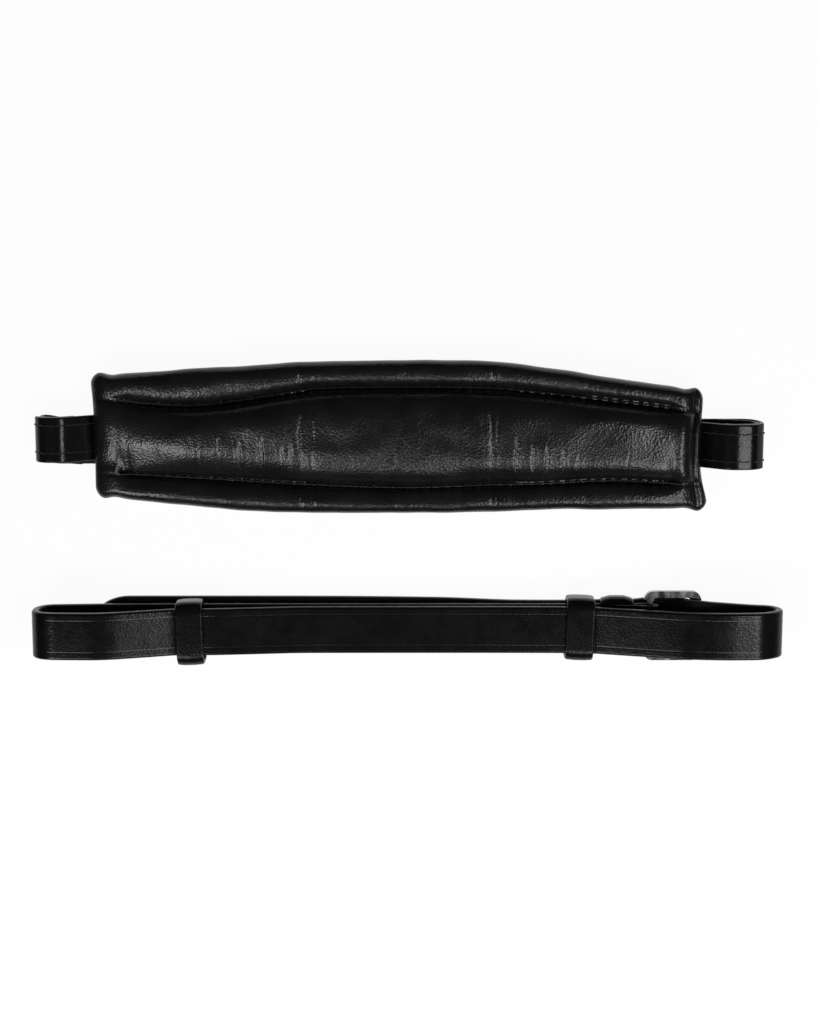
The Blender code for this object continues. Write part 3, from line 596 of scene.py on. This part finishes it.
def tuckRelief(x, y):  # the short creases pressed into the crown
    relief = 0.0
    for at, begin, end, depth, slant in padShape["tucks"]:
        off = x - at - slant * y - 0.9 * noise.noise(Vector((y / 5, at, 9)))
        if abs(off) < 2.5:
            # A narrow groove between two low lips
            length = ease((y - begin) / 4) * ease((end - y) / 4)
            relief += depth * length * (0.5 * hump(off, 1.6) - 1.5 * hump(off, 0.6))
    return relief


def creaseRelief(x, y):  # the creases across the whole pad, where a wing folds
    relief = 0.0
    for at, depth, width in padShape["creases"]:
        wander = 1.5 * noise.noise(Vector((y / 9, at, 0)))
        varied = 0.75 + 0.5 * noise.noise(Vector((y / 9, at, 5)))
        relief -= depth * hump(x - at - wander, width) * varied
    return relief


def padPoint(column, zone, share):  # a point of the pad's upper skin
    pad, x, rim = padShape, column["x"], padShape["rim"]
    if zone == 1:
        y, tall, seamGap = crownPoint(column, share)
        edgeShare, foldShare = 1.0, 1.0
    else:
        y, tall, seamGap, toEdge = bolsterPoint(column, zone, share)
        edgeShare, foldShare = ease(toEdge / pad["edgeFade"]), pad["outerFoldDip"]
    lean, leanOver = pad["endLean"]
    tall -= lean * max(0.0, -y) * hump(column["ahead"], leanOver)
    barsTall, barsFine = pad["bars"]
    bars = noise.noise(Vector((x / 3.6, y / 19, 0.5)))
    bars += barsFine * noise.noise(Vector((x / 1.7 + y / 6, y / 12, 7.5)))
    lumps = noise.noise(Vector((x / 17, y / 9, 3.1))) * pad["lumps"] * column["calm"]
    detail = column["wrinkle"] * barsTall * bars + lumps
    if zone == 1:
        detail += tuckRelief(x, y)
    depth, wide = pad["pucker"]
    pull = depth * (0.5 + 0.5 * math.cos(math.pi * x / pad["stitch"])) * hump(seamGap, wide)
    detail -= pull * column["sewn"] * column["calm"]
    detail += creaseRelief(x, y)
    depth, at, wide = pad["foldDip"]
    detail -= depth * hump(abs(x) - at, wide) * foldShare
    tall = rim + (tall - rim + detail * edgeShare) * column["shrink"]
    return x, y, pad["floor"] + tall


def endShift(x, y):  # the ends are drawn in between their corners, and both are askew
    table = padShape["leftEnd" if x < 0 else "rightEnd"]
    return through(table, y) * math.exp((abs(x) - padShape["half"]) / padShape["drawnIn"])


def slab(columns, rows, layers):  # a closed block whose vertices hold (column, row, layer)
    bm = bmesh.new()
    bmesh.ops.create_grid(bm, x_segments=columns, y_segments=rows, size=0.5)
    bmesh.ops.scale(bm, vec=(columns, rows, 1), verts=bm.verts)
    bmesh.ops.translate(bm, vec=(columns / 2, rows / 2, 0), verts=bm.verts)
    bmesh.ops.reverse_faces(bm, faces=bm.faces)
    thicken(bm, layers)
    bmesh.ops.subdivide_edges(
        bm, edges=edgesAlong(bm, 2), cuts=layers - 1, use_grid_fill=True
    )
    return bm


def padHalf(side):
    pad = padShape
    rows, layers = padRows(), pad["layers"]
    places = placesAlong(pad["half"], pad["corner"], pad["cornerTurn"], pad["step"])
    places = sorted({round(side * x, 5) for x in places})
    bm = slab(len(places) - 1, len(rows) - 1, layers)
    columns = [padColumn(x) for x in places]
    for vert in bm.verts:
        column = columns[round(vert.co.x)]
        layer = round(vert.co.z)
        x, y, z = padPoint(column, *rows[round(vert.co.y)])
        if layer < layers:  # the rolled side below the widest line, and the flat underside
            turn = math.radians(90 * (1 - layer / layers))
            inward = pad["tuck"] * (1 - math.cos(turn))
            middle = (column["low"] + column["high"]) / 2
            half = (column["high"] - column["low"]) / 2
            y = middle + (y - middle) * (1 - inward / half)
            x -= inward * x / pad["half"]
            z = pad["floor"] + pad["rim"] * (1 - math.sin(turn))
        vert.co = (x + endShift(x, y), y, z)
    bmesh.ops.recalc_face_normals(bm, faces=bm.faces)
    return bm


def padSeamStitches(side):
    pad = padShape
    raised, up = Vector((0, 0, pad["stitchRaised"])), Vector((0, 0, 1))
    bm = bmesh.new()
    for zone in (0, 1):  # each zone ends at a seam
        places = []
        for i in range(int((pad["half"] - pad["unsewn"]) / pad["stitch"])):
            x = side * pad["stitch"] * (i + 0.5)
            point = Vector(padPoint(padColumn(x), zone, 1.0))
            onward = Vector(padPoint(padColumn(x + 0.2), zone, 1.0)) - point
            along = Vector((onward.x, onward.y, 0)).normalized() * pad["stitch"]
            places.append((point + raised, along, up))
        sewRow(bm, places, padStitch)
    return bm


def bendAtFold(piece):
    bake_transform(piece)


sideNames = {-1: "left", 1: "right"}
for side, label in sideNames.items():
    pad = finishPiece("padCover_" + label, padHalf(side), [soft], 60)
    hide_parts("pad_cover_" + label, "pad_fold_" + label, "pad_foam_" + label)
    if side < 0:
        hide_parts("pad_cover_middle", "pad_foam_middle")
    bendAtFold(pad)
    bm = padSeamStitches(side)
    bendAtFold(finishPiece("padSeam_" + label, bm, threadAndHoleShade))
print("pad ready")


# Noseband back: panel, filler, outer strap with its sewn loops, and the loops' linings

noseShape = {
    "width": 19.0, "thick": 2.0, "rounding": 0.6, "lining": 1.5, "liningGap": 0.06,
    "liningFrom": 133.5, "liningTo": 131.5, "liningRounding": 0.4,
    "filler": {"half": 100.7, "z": 3.3, "thick": 1.96, "rounding": 0.5},
    "panel": {
        "floor": 4.6, "thick": 2.5, "half": 117.0, "border": 8.0, "corner": 6.0, "turn": 10,
        "step": 2.0, "rows": 12, "layers": 6, "swell": 0.45,
    },
    # the strap's route (along, height, radius): its turned-back end, the top of each
    # loop, and the back
    "turnedEnd": [(101.0, 3.3, 0), (123.0, 3.3, 10)],
    "knee": {
        -1: [(140.6, 14.4, 6.5), (150.6, 14.4, 5.6)],
        1: [(137.0, 14.4, 10), (146.6, 13.4, 5), (150.6, 9.6, 3.6)],
    },
    "back": [(150.6, 1.0, 5.6), (0, 1.0, 0)],
    "lean": {-1: 2.3, 1: -0.8}, "leanOver": (8.5, 17),
    # two rows of stitches on each half, which run into one another along the back
    "rows": {-1: (6.1, -5.4), 1: (5.4, -6.0)}, "middleRows": (5.75, -5.7),
    "driftOver": (110, 100), "stitch": 3.6, "stitchFrom": 26.0, "proud": 0.02,
}


def nosebandLean(side, path):
    nose = noseShape
    foot = path["lengths"][-1] - nose["back"][0][0]  # where the underside begins
    before, over = nose["leanOver"]
    return lambda s: nose["lean"][side] * ease((foot - s + before) / over)


def finishHalf(name, bm, side, materials, *nodes):
    if side < 0:
        mirrorAcross(bm)
    piece = finishPiece(name + "_" + sideNames[side], bm, materials)
    if nodes:
        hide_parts(*nodes)
    return piece


def backingPanel(side):
    look = noseShape["panel"]
    half, corner, rows, layers = [look[key] for key in ("half", "corner", "rows", "layers")]
    places = sorted(placesAlong(half, corner, look["turn"], look["step"]))
    bm = slab(len(places) - 1, rows, layers)
    for vert in bm.verts:
        x = places[round(vert.co.x)]
        drop = cornerDrop(half - x, corner)
        low = through(padShape["bottom"], side * x) + look["border"] + drop
        high = through(padShape["top"], side * x) - look["border"] - drop
        y = low + (high - low) * vert.co.y / rows
        level = vert.co.z / layers
        swell = look["swell"] * (math.sqrt(max(0.0, 1 - (2 * level - 1) ** 2)) - 1)
        y += swell * (2 * vert.co.y / rows - 1)
        vert.co = (x + swell * x / half, y, look["floor"] + look["thick"] * level)
    bmesh.ops.recalc_face_normals(bm, faces=bm.faces)
    return bm


def finishStrap(name, bm, path, lean, side, nodes):
    paintSides(bm)
    bend(bm, path, lean)
    return finishHalf(name, bm, side, strapFinish, *nodes)


for side, label in sideNames.items():
    nose, filler = noseShape, noseShape["filler"]
    width, thick = nose["width"], nose["thick"]
    path = roundedPath(nose["turnedEnd"] + nose["knee"][side] + nose["back"])
    total = path["lengths"][-1]
    lean = nosebandLean(side, path)
    parts = ["_middle", "_left"] if side < 0 else ["_right"]

    strap = flatStrap(path, width, thick, nose["rounding"])
    nodes = ["outer_strap" + part for part in parts]
    bendAtFold(finishStrap("outerStrap", strap, path, lean, side, nodes))

    # The lining follows the strap's inner face through the loop
    inset = thick / 2 + nose["lining"] / 2 + nose["liningGap"]
    begin = lengthAt(path, nose["liningFrom"])
    underside = lengthAt(path, nose["back"][0][0] - 1)
    end = lengthAt(path, nose["liningTo"], begin=underside)
    inner = measured([
        point - normal * inset
        for point, normal, s in zip(path["points"], path["normals"], path["lengths"])
        if begin <= s <= end
    ])
    lining = flatStrap(inner, width, nose["lining"], nose["liningRounding"])
    nodes = ["loop_lining_" + label]
    piece = finishStrap("loopLining", lining, inner, lambda s: lean(s + begin), side, nodes)
    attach(piece, label + "_wing")

    level = roundedPath([(0, filler["z"], 0), (filler["half"], filler["z"], 0)])
    flat = flatStrap(level, width, filler["thick"], filler["rounding"])
    nodes = ["strap_filler" + part for part in parts]
    bendAtFold(finishStrap("strapFiller", flat, level, None, side, nodes))

    nodes = ["backing_panel" + part for part in parts]
    panel = finishHalf("backingPanel", backingPanel(side), side, [bridle], *nodes)
    bendAtFold(panel)

    rows = bmesh.new()
    out = thick / 2 + nose["proud"]
    before, over = nose["driftOver"]
    for y, middle in zip(nose["rows"][side], nose["middleRows"]):
        def drift(s):
            return lean(s) + (middle - y) * ease((s - total + before) / over)

        places = rowOnPath(path, y, out, nose["stitchFrom"], total, nose["stitch"], drift)
        sewRow(rows, places, strapStitch)
    bendAtFold(finishHalf("loopStitches", rows, side, threadAndHoleShade))
print("noseband back and loops ready")


# Curb strap: one strap from its turned-back end round the loop to the tip of the tail

curbShape = {
    "centre": (3.4, -78.4), "width": 20.0, "thick": 3.2, "chape": 2.6, "rounding": 1.0,
    "turnedEnd": 1.2, "pared": (7, 8),  # the thin end, and where it grows to the chape's
    "creaseLine": 6.7, "creaseReach": 0.28, "creaseDepth": 0.07,
    "cutsAcross": [-3.4, 0, 3.4, 8.75, -8.75],
    "heelAt": 102.1, "heelTurn": 2.85, "beyondHeel": 2.8, "fullFrom": 79.5, "endsAt": 155.8,
    "tail": 15.0, "tailTip": -133.3, "tailZ": 1.6, "tailLeast": 0.998, "billet": 280,
    "slot": 4.4, "slotStraight": 4.15, "slotShift": 1.2, "slotCorner": 0.46,
    "used": {"at": 10.1, "aside": -2.1, "long": 11.6},  # the hole that the prong is in
    "holes": 7, "holeGap": 25.0, "hole": 4.0, "cutterTall": 9,
    # how far each run of the strap lies to one side of the middle line
    "chapeAside": [(-155.9, -0.5), (-110, 0.0), (0, 0.0), (88, 0.0)],
    "frontAside": [
        (-155.9, -0.5), (-130, -0.7), (-100, -0.7), (-60, -0.5), (-40, -0.3), (60, -0.3),
        (80, -0.6), (120, -0.8), (155.9, -0.9),
    ],
    "billetAside": [
        (-133, 2.1), (-60, 2.1), (-25, 2.0), (10, 1.6), (40, 0.9), (56, 0.75), (72, 0.8),
        (88, 1.1), (98, 1.3), (103, 2.2), (108, 2.8), (117, 2.8), (124, 2.2), (132, 1.1),
        (142, -0.2), (155.9, -0.9),
    ],
    "route": [
        (87.8, 10.4, 0), (95.55, 10.4, 6), (100.1, 11.5, 4), (104.95, 11.5, 2.85),
        (104.95, 5.8, 2.85), (99.6, 5.8, 5), (95.45, 6.5, 5), (80.45, 6.5, 3), (78.5, 7, 3),
        (-155.9, 7, 6.95), (-155.9, 20.6, 6.2), (-149, 22.9, 14), (-127.5, 22.9, 50),
        (-98, 14.1, 18), (-81.5, 14.1, 50), (-50.12, 11.6, 90), (79.5, 11.6, 5),
        (116.5, 21.3, 60), (133, 22.6, 80), (149, 21.7, 14), (155.9, 16.2, 6.2),
        (155.9, 7.6, 5.5), (140.3, 7.6, 14), (126.5, 12.0, 10), (118.5, 12.3, 3.5),
        (110.5, 3.3, 5), (99.1, 2.6, 8), (95.35, 3.3, 8), (80.45, 3.3, 5), (78.5, 3.5, 5),
        (42.1, 3.5, 80), (18.5, 1.6, 80), (-133.3, 1.6, 0),
    ],
}


def curbPath():
    curb = curbShape
    tip, tail = curb["tailTip"], curb["tail"]
    points = roundedPath(curb["route"])["points"]
    # Rings stand closer together towards the rounded tip
    points = [p for p in points if p.x > tip + tail or p.y > 2 or p.x > 0]
    points += [
        Vector((tip + tail * (1 - math.sin(math.radians(a))), curb["tailZ"]))
        for a in range(2, 87, 6)
    ]
    return measured(points)


def curbCutter(slots, holes):  # slots: (place, aside, length) on the flat strap
    curb, tall, cutter = curbShape, curbShape["cutterTall"], bmesh.new()
    for at, off, long in slots:
        made = bmesh.ops.create_cube(cutter, size=1.0)
        bmesh.ops.scale(cutter, vec=(long, curb["slot"], tall), verts=made["verts"])
        bmesh.ops.translate(cutter, vec=(at, off, 0), verts=made["verts"])
        corners = [e for e in edgesAlong(cutter, 2) if e.verts[0] in made["verts"]]
        roundEdges(cutter, corners, curb["slot"] * curb["slotCorner"], 6)
    for at in holes:
        made = bmesh.ops.create_cone(
            cutter, cap_ends=True, segments=20, radius1=curb["hole"] / 2,
            radius2=curb["hole"] / 2, depth=tall,
        )
        bmesh.ops.translate(cutter, vec=(at, 0, 0), verts=made["verts"])
    return cutter


def curbPiece():
    curb, use = curbShape, curbShape["used"]
    path = curbPath()
    total = path["lengths"][-1]
    heel = lengthAt(path, curb["heelAt"] + curb["beyondHeel"])
    back = lengthAt(path, curb["fullFrom"], begin=heel)
    leftEnd, rightEnd = [lengthAt(path, side * curb["endsAt"]) for side in (-1, 1)]
    line, reach = curb["creaseLine"], curb["creaseReach"]
    offs = (-0.5, -reach, -reach / 2, 0, reach / 2, reach, 0.5)
    cuts = [side * (line + off) for side in (-1, 1) for off in offs] + curb["cutsAcross"]
    bm = flatStrap(path, curb["width"], curb["thick"], curb["rounding"], cuts)

    turn = curb["heelTurn"]
    turned = math.pi * turn + 2 * curb["slotStraight"]
    used = lengthAt(path, curb["heelAt"] + use["at"], begin=total - curb["billet"])
    slots = [(heel + turn * curb["slotShift"], 0, turned), (used, use["aside"], use["long"])]
    holes = [used + i * curb["holeGap"] for i in range(1, curb["holes"] + 1)]
    punch(bm, curbCutter(slots, holes))
    paintSides(bm)
    creased(bm, line, reach, curb["creaseDepth"])
    paredFrom, paredOver = curb["pared"]
    tailFrom = total - curb["tail"]
    for vert in bm.verts:
        s = vert.co.x
        thin = curb["chape"] if s < back else curb["thick"]
        if s < heel:  # the leather is pared down where it turns round the buckle
            share = ease((s - paredFrom) / paredOver)
            thin = curb["turnedEnd"] + (curb["chape"] - curb["turnedEnd"]) * share
        vert.co.z *= thin / curb["thick"]
        if s > tailFrom:
            share = min(curb["tailLeast"], (s - tailFrom) / curb["tail"])
            vert.co.y *= math.sqrt(1 - share * share)

    def aside(s):
        run = "chapeAside" if s < leftEnd else "frontAside" if s < rightEnd else "billetAside"
        return through(curb[run], onPath(path, s)[0].x)

    bend(bm, path, aside)
    return bm


def setDown(bm):
    bmesh.ops.translate(bm, vec=(*curbShape["centre"], 0), verts=bm.verts)
    return bm


bm = setDown(curbPiece())
curb = finishPiece("curbStrapLeather", bm, strapFinish, 40)
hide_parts("curb_strap")
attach(curb, "curb_strap")
print("curb strap ready")

keeperForm = {"side": 0.5, "foot": 3.0, "rounding": 0.7, "step": 1.5, "turned": 4}
keeperShapes = {
    "runner_keeper_left": {
        "body": "left_runner", "at": -91.8, "long": 11.4, "thick": 1.6, "floor": 3.5,
        "room": 10.9, "crown": 0.1, "corner": 4.2, "nearRoom": 3.2, "farRoom": 0.0,
        "askew": 2.0, "bow": 0.5,
    },
    "runner_keeper_right": {
        "body": "right_runner", "at": 72.5, "long": 11.9, "thick": 1.6, "floor": 0.0,
        "room": 11.9, "crown": 0.1, "corner": 4.2, "nearRoom": 1.7, "farRoom": 1.0,
        "askew": -2.0, "bow": 0.5,
    },
    "fixed_keeper": {
        "body": "curb_strap", "at": 88.4, "long": 14.3, "thick": 1.4, "floor": 0.0,
        "room": 6.7, "crown": 0.0, "corner": 2.8, "nearRoom": 0.0, "farRoom": 0.9,
        "askew": 0.0, "bow": 1.6,
    },
}


def keeperBand(look):
    form, long, thick = keeperForm, look["long"], look["thick"]
    half = curbShape["width"] / 2 + form["side"] + thick / 2
    low = look["floor"] + thick / 2
    top = look["floor"] + look["room"] + 1.5 * thick
    near, far = half + look["nearRoom"], half + look["farRoom"]
    corner, foot = look["corner"], min(look["corner"], form["foot"])
    path = roundedPath([
        (0, low, 0), (-near, low, foot), (-near, top, corner), (far, top, corner),
        (far, low, foot), (0, low, 0),
    ], longest=form["step"])
    path = measured(path["points"], closed=True)
    total = path["lengths"][-1]
    bm = flatStrap(path, long, thick, form["rounding"])
    paintSides(bm)
    ends = [f for f in bm.faces if all(v.co.x < 1e-4 for v in f.verts)
            or all(v.co.x > total - 1e-4 for v in f.verts)]
    bmesh.ops.delete(bm, geom=ends, context="FACES")
    bend(bm, path)
    bmesh.ops.remove_doubles(bm, verts=bm.verts, dist=0.01)
    bmesh.ops.rotate(bm, matrix=Matrix.Rotation(math.pi / 2, 3, "Z"), verts=bm.verts)
    for vert in bm.verts:
        if vert.co.z > top - thick:
            vert.co.z -= look["crown"] * (vert.co.y / half) ** 2
        # The band's edges are drawn in where it turns down its sides
        out = ease((abs(vert.co.y) - half + form["turned"]) / form["turned"])
        vert.co.y -= math.copysign(look["bow"], vert.co.y) * out * (2 * vert.co.x / long) ** 4
    askew = Matrix.Rotation(math.radians(look["askew"]), 3, "Z")
    bmesh.ops.rotate(bm, matrix=askew, verts=bm.verts)
    bmesh.ops.translate(bm, vec=(look["at"], 0, 0), verts=bm.verts)
    return bm


for name, look in keeperShapes.items():
    bm = setDown(keeperBand(look))
    band = finishPiece(name + "Band", bm, strapFinish, 40)
    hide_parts(name)
    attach(band, look["body"])
print("keepers ready")


# Buckle

buckleShape = {
    "heelAt": 102.1, "z": 8.65, "thick": 2.5, "half": 14.9, "reach": 21.6, "heel": 2.6,
    "side": 2.8, "endBar": 4.4, "recess": 10.9, "shoulder": 0.6, "corner": 4.0,
    "window": 1.6, "lean": 0.9, "edge": 0.9,
    "prong": {
        "thick": 1.6, "width": 3.0, "aside": 0.6, "rounding": 0.5, "play": 0.3,
        "curl": range(-60, 271, 10), "past": 0.4, "rings": 14,
        # the share of the width and height left at the tip, and where it starts to narrow
        "tipWide": (0.55, 4), "tipTall": (0.7, 2),
    },
}


def buckleFrame():
    look = buckleShape
    heel, half, thick, recess = [look[key] for key in ("heelAt", "half", "thick", "recess")]
    back, front = heel - look["heel"], heel + look["reach"]
    bm = bmesh.new()
    bmesh.ops.create_grid(bm, x_segments=1, y_segments=1, size=1)
    for vert in bm.verts:
        vert.co.x = front if vert.co.x > 0 else back
        vert.co.y = math.copysign(half, vert.co.y)
    inset = bmesh.ops.inset_region(
        bm, faces=bm.faces[:], thickness=look["side"], use_boundary=True, use_even_offset=True
    )
    inner = [f for f in bm.faces if f not in inset["faces"]][0]
    for vert in inner.verts:
        outer = vert.co.x > heel + look["reach"] / 2
        vert.co.x = front - look["endBar"] if outer else heel + thick / 2
    bmesh.ops.delete(bm, geom=[inner], context="FACES")
    thicken(bm, thick)
    upright = edgesAlong(bm, 2)
    outerEdges = [e for e in upright if abs(e.verts[0].co.y) > half - 0.1]
    innerEdges = [e for e in upright if e not in outerEdges]
    roundEdges(bm, outerEdges, look["corner"], 8)
    roundEdges(bm, innerEdges, look["window"], 8)
    # The heel bar is set back between two shoulders, for the leather round it
    for y in (recess, recess + look["shoulder"], -recess, -recess - look["shoulder"]):
        cutAlong(bm, y)
    for vert in bm.verts:
        if abs(vert.co.y) < recess + 0.1 and vert.co.x < back + 0.1:
            vert.co.x = heel - thick / 2
    bmesh.ops.recalc_face_normals(bm, faces=bm.faces)
    sharp = [e for e in bm.edges if e.calc_face_angle(0) > math.radians(50)]
    level = [e for e in sharp if abs(e.verts[0].co.z - e.verts[1].co.z) < 0.1]
    roundEdges(bm, level, look["edge"], 4)
    bmesh.ops.translate(bm, vec=(0, look["lean"], look["z"] - thick / 2), verts=bm.verts)
    return bm


def prongPath():  # curled round the heel bar, then out under the frame's end bar
    look, prong = buckleShape, buckleShape["prong"]
    heel, z = look["heelAt"], look["z"]
    radius = look["thick"] / 2 + prong["play"] + prong["thick"] / 2
    points = [
        Vector((heel + radius * math.cos(turn), z + radius * math.sin(turn)))
        for turn in map(math.radians, prong["curl"])
    ]
    begin, tip, rings = points[-1].x, heel + look["reach"] + prong["past"], prong["rings"]
    points += [
        Vector((begin + (tip - begin) * i / rings, z - radius)) for i in range(1, rings + 1)
    ]
    return measured(points)


def buckleProng():
    look, path = buckleShape["prong"], prongPath()
    bm = flatStrap(path, look["width"], look["thick"], look["rounding"], [0])
    (wide, wideFrom), (tall, tallFrom) = look["tipWide"], look["tipTall"]
    for vert in bm.verts:
        toTip = path["lengths"][-1] - vert.co.x
        vert.co.y *= wide + (1 - wide) * ease(toTip / wideFrom)
        vert.co.z *= tall + (1 - tall) * ease(toTip / tallFrom)
    bend(bm, path, lambda s: look["aside"])
    return bm


bm = setDown(buckleFrame())
framePiece = finishPiece("buckleFrameSteel", bm, [steel], 45)
framePiece.modifiers.new("evenShading", "WEIGHTED_NORMAL").keep_sharp = True
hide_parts("buckle_frame")
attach(framePiece, "curb_strap")
bm = setDown(buckleProng())
prongPiece = finishPiece("buckleProngSteel", bm, [steel], 45)
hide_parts("buckle_prong")
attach(prongPiece, "prong")
print("buckle ready")


# Floor, lights and camera

stageLook = {
    "floor": (0.86, 0.86, 0.86), "floorSize": 0.8, "seenWhite": 0.95, "world": 0.06,
    "camera": {"place": (0.00406, 0.12588, 0.88633), "tilt": -10, "lens": 74.8},
    "aim": (0.004, -0.03, 0.01),
    # each light: its place, width along X and Y, watts
    "lights": {
        "leftBox": ((-0.56, -0.64, 0.93), 0.32, 0.42, 5.4),
        "rightBox": ((0.56, -0.64, 0.93), 0.3, 0.42, 5.1),
        "rightStrip": ((0.5, -0.17, 0.93), 0.22, 0.26, 2.4),
        "nearLeftBox": ((-0.28, -0.66, 0.96), 0.22, 0.38, 1.7),
        "nearRightBox": ((0.26, -0.66, 0.96), 0.24, 0.38, 1.9),
    },
}


def makeFloor():
    material, shader = startMaterial("paleFloor", stageLook["floor"], 0.9)
    nodes, links = material.node_tree.nodes, material.node_tree.links
    rays = nodes.new("ShaderNodeLightPath")
    seen = nodes.new("ShaderNodeMath")
    seen.operation = "MAXIMUM"
    share = nodes.new("ShaderNodeMath")
    share.operation = "MULTIPLY"
    share.inputs[1].default_value = stageLook["seenWhite"]
    glow = nodes.new("ShaderNodeEmission")
    mix = nodes.new("ShaderNodeMixShader")
    links.new(rays.outputs["Is Camera Ray"], seen.inputs[0])
    links.new(rays.outputs["Is Glossy Ray"], seen.inputs[1])
    links.new(seen.outputs["Value"], share.inputs[0])
    links.new(share.outputs["Value"], mix.inputs["Fac"])
    links.new(shader.outputs["BSDF"], mix.inputs[1])
    links.new(glow.outputs["Emission"], mix.inputs[2])
    links.new(mix.outputs["Shader"], nodes["Material Output"].inputs["Surface"])
    bm = bmesh.new()
    bmesh.ops.create_grid(bm, x_segments=2, y_segments=2, size=stageLook["floorSize"])
    mesh = bpy.data.meshes.new("floor")
    bm.to_mesh(mesh)
    bm.free()
    mesh.materials.append(material)
    return addObject("floor", mesh)


def makeLight(name, place, wide, deep, watts):
    lamp = bpy.data.lights.new(name, "AREA")
    lamp.shape = "RECTANGLE"
    lamp.size, lamp.size_y, lamp.energy = wide, deep, watts
    light = addObject(name, lamp)
    away = Vector(place) - Vector(stageLook["aim"])
    light.location = place
    light.rotation_euler = away.to_track_quat("Z", "Y").to_euler()


def makeCamera():
    look = stageLook["camera"]
    data = bpy.data.cameras.new("camera")
    data.lens, data.sensor_width = look["lens"], 36
    camera = addObject("camera", data)
    camera.location = look["place"]
    camera.rotation_euler = (math.radians(look["tilt"]), 0, 0)
    bpy.context.scene.camera = camera


makeFloor()
for name, settings in stageLook["lights"].items():
    makeLight(name, *settings)
makeCamera()
scene = bpy.context.scene
scene.view_settings.view_transform = "Standard"
world = bpy.data.worlds.new("studio")
world.use_nodes = True
background = world.node_tree.nodes["Background"]
background.inputs["Color"].default_value = (1, 1, 1, 1)
background.inputs["Strength"].default_value = stageLook["world"]
scene.world = world
print("stage ready")
